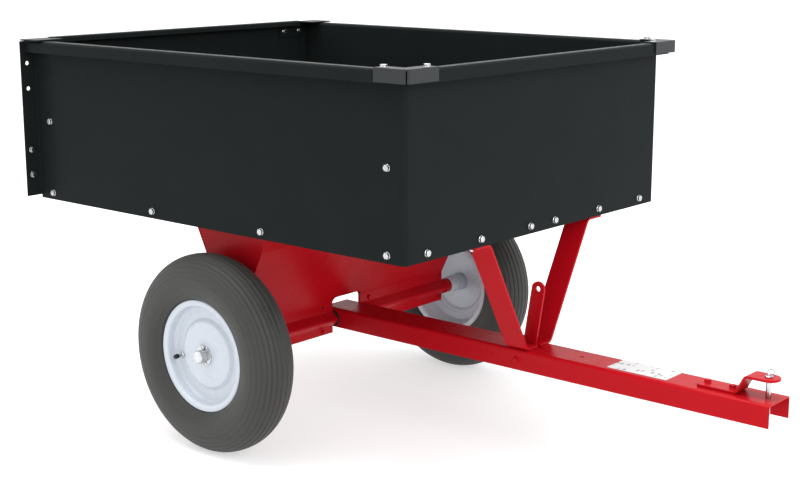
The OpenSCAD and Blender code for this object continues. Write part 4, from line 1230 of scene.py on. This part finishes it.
class CART_OT_valves(CartPiece, bpy.types.Operator):
    """Valve stems and their knurled caps"""
    bl_idname = "cart.valves"
    bl_label = "Valves"

    def make(self, scene):
        def one(side, name):
            body = "wheel_" + name
            lo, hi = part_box("valve_" + name)
            c = (lo + hi) / 2
            y0 = lo.y if side > 0 else hi.y
            stem = [(0, 0), (5.4, 0), (6, 0.6), (6, 8.2), (5.4, 9.6), (4.7, 10.6), (4, 11.6),
                    (3.7, 14), (4, 16.5), (3.6, 19.8), (0, 19.8)]
            bm = turned(bmesh.new(), [(r * MM, side * h * MM) for r, h in stem], (c.x, y0, c.z), "y", 36)
            form("valve_" + name, bm, "steel", body, slot="valve_rubber", smooth=40)
            lo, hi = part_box("valve_cap_" + name)
            y0 = lo.y if side > 0 else hi.y
            cap = [(0, 0), (4.1, 0), (4.4, 0.5), (4.4, 1.6), (4.6, 2.0), (4.6, 7.6), (4.3, 8.4), (3.7, 9.2),
                   (3.5, 10.4), (2.8, 11), (0, 11)]
            bm = turned(bmesh.new(), [(r * MM, side * h * MM) for r, h in cap], (c.x, y0, c.z), "y", 72)
            for v in bm.verts:
                away = Vector((v.co.x - c.x, 0, v.co.z - c.z))
                h = abs(v.co.y - y0)
                if away.length > 4.5 * MM and 1.8 * MM < h < 8 * MM:
                    turn = round(math.atan2(away.z, away.x) / math.tau * 72)
                    v.co -= away.normalized() * (0.35 * MM if turn % 3 == 0 else 0)
            form("valve_cap_" + name, bm, "gloss", body, smooth=30)
        both_sides(one)


# ------------------------------------------------------------------ fasteners

class CART_OT_bed_fasteners(CartPiece, bpy.types.Operator):
    """Bolts and nuts of the bed, caps, floor and cradle"""
    bl_idname = "cart.bed_fasteners"
    bl_label = "Bed fasteners"

    def make(self, scene):
        def outward(c):
            return (1, 0, 0) if c.x > FRONT - 15 * MM else (0, 1 if c.y > 0 else -1, 0)

        def inward(c):
            return tuple(-v for v in outward(c))

        small = {"across": 9.4 * MM, "flange": 6.1 * MM, "painted": True}
        hexagons("panel_bolts", "bed", outward, 5.2 * MM)
        hexagons("panel_nuts", "bed", inward)
        hexagons("flange_bolts", "bed", lambda c: (1, 0, 0), 5.2 * MM)
        hexagons("flange_nuts", "bed", lambda c: (-1, 0, 0))
        hexagons("cap_bolts", "bed", lambda c: (0, 0, 1), 4.4 * MM)
        hexagons("cap_nuts", "bed", lambda c: (0, 0, -1))
        hexagons("cradle_bolts", "bed", lambda c: (1, 0, 0), 4.4 * MM, shank=3 * MM, **small)
        hexagons("cradle_nuts", "bed", lambda c: (-1, 0, 0), **small)
        hexagons("floor_bolts", "bed", lambda c: (0, 0, 1), 3.9 * MM)
        hexagons("floor_nuts", "bed", lambda c: (0, 0, -1))


class CART_OT_tailgate_fasteners(CartPiece, bpy.types.Operator):
    """Bolts and nuts of the tailgate's hooks"""
    bl_idname = "cart.tailgate_fasteners"
    bl_label = "Tailgate fasteners"

    def make(self, scene):
        hexagons("tailgate_bolts", "tailgate", lambda c: (1, 0, 0), 4.4 * MM)
        hexagons("tailgate_nuts", "tailgate", lambda c: (-1, 0, 0))


class CART_OT_drawbar_fasteners(CartPiece, bpy.types.Operator):
    """Bolts and nuts of the drawbar, and its bushings"""
    bl_idname = "cart.drawbar_fasteners"
    bl_label = "Drawbar fasteners"

    def make(self, scene):
        hexagons("hitch_bolts", "drawbar", lambda c: (0, 0, 1), 5.8 * MM, painted=True)
        hexagons("hitch_nuts", "drawbar", lambda c: (0, 0, -1), painted=True)
        hexagons("latch_bolt", "drawbar", lambda c: (0, -1, 0), 5.3 * MM, painted=True)
        hexagons("latch_nut", "drawbar", lambda c: (0, 1, 0), painted=True)
        kept("latch_bush", "zinc")
        kept("pivot_bushings", "nylon")


# ------------------------------------------------------------------ stage

class CART_OT_stage(CartPiece, bpy.types.Operator):
    """Pale floor, soft studio light and the camera"""
    bl_idname = "cart.stage"
    bl_label = "Stage"

    def make(self, scene):
        studio = scene.cart_studio
        bm = bmesh.new()
        rings = [[bm.verts.new((r * math.cos(math.tau * k / 96), r * math.sin(math.tau * k / 96), 0))
                  for k in range(96)] for r in (2.0, 8.0, 45.0)]
        bm.faces.new(rings[0])
        for inner, outer in zip(rings, rings[1:]):
            for k in range(96):
                bm.faces.new((inner[k], outer[k], outer[(k + 1) % 96], inner[(k + 1) % 96]))
        bmesh.ops.recalc_face_normals(bm, faces=bm.faces)
        floor = as_object("studio_floor", bm)
        ground = Finish("studio_floor_paint")
        ground.set({"Base Color": ground.blend(ground.noise(1.5, 2), (0.61, 0.61, 0.61), (0.63, 0.63, 0.63)),
                    "Emission Color": (1, 1, 1, 1), "Emission Strength": studio.floor_glow, "Roughness": 0.75,
                    "Specular IOR Level": 0.25})
        floor.data.materials.append(ground.material)

        world = bpy.data.worlds.new("studio_room")
        world.use_nodes = True
        world.node_tree.nodes["Background"].inputs["Color"].default_value = (1, 1, 1, 1)
        world.node_tree.nodes["Background"].inputs["Strength"].default_value = studio.sky
        scene.world = world

        def lamp(name, power, place, target, width, height):
            light = bpy.data.lights.new(name, "AREA")
            light.energy, light.shape, light.size, light.size_y = power, "RECTANGLE", width, height
            obj = bpy.data.objects.new(name, light)
            obj.location = place
            obj.rotation_euler = (Vector(target) - Vector(place)).to_track_quat("-Z", "Y").to_euler()
            scene.collection.objects.link(obj)

        lamp("front_light", studio.key, (4.2, -1.2, 2.6), (0, 0, 0.4), 2.6, 2.6)
        lamp("overhead_light", studio.fill, (-0.6, -0.4, 4.2), (0, 0, 0.3), 3.2, 3.2)

        camera = bpy.data.objects.new("camera", bpy.data.cameras.new("camera"))
        camera.data.lens, camera.data.sensor_width = 64.02, 36
        camera.location = (1.8452, -2.26245, 1.0305)
        camera.rotation_euler = (math.radians(90 - 12.04), 0, math.radians(40.39))
        scene.collection.objects.link(camera)
        scene.camera = camera
        scene.view_settings.view_transform = "Standard"


class CART_PT_panel(bpy.types.Panel):
    """Lists the cart's pieces and settings"""
    bl_idname = "CART_PT_panel"
    bl_label = "Tow behind cart"
    bl_space_type = "VIEW_3D"
    bl_region_type = "UI"
    bl_category = "Cart"

    def draw(self, context):
        for settings in SETTINGS:
            group = getattr(context.scene, settings)
            box = self.layout.box()
            for key in group.__annotations__:
                box.prop(group, key)
        for operator in OPERATORS:
            self.layout.operator(operator.bl_idname)


SETTINGS = {"cart_paint": CartPaint, "cart_sheet": CartSheet, "cart_tyre": CartTyre,
            "cart_fasteners": CartFasteners, "cart_studio": CartStudio}
OPERATORS = (CART_OT_stage, CART_OT_side_panels, CART_OT_front_panel, CART_OT_floor_pan, CART_OT_tailgate,
             CART_OT_corner_caps, CART_OT_rear_guides, CART_OT_cradle, CART_OT_bed_brace, CART_OT_tongue,
             CART_OT_hitch_plate, CART_OT_label, CART_OT_latch_lever, CART_OT_latch_spring, CART_OT_hitch_pin,
             CART_OT_axle, CART_OT_tyres, CART_OT_wheel_rims, CART_OT_valves, CART_OT_bed_fasteners,
             CART_OT_tailgate_fasteners, CART_OT_drawbar_fasteners)


def register():
    for kind in (*SETTINGS.values(), *OPERATORS, CART_PT_panel):
        bpy.utils.register_class(kind)
    for name, kind in SETTINGS.items():
        setattr(bpy.types.Scene, name, PointerProperty(type=kind))


def unregister():
    for name in SETTINGS:
        delattr(bpy.types.Scene, name)
    for kind in reversed((*SETTINGS.values(), *OPERATORS, CART_PT_panel)):
        bpy.utils.unregister_class(kind)


def main():
    register()
    for operator in OPERATORS:
        family, name = operator.bl_idname.split(".")
        getattr(getattr(bpy.ops, family), name)()


if __name__ == "__main__":
    main()
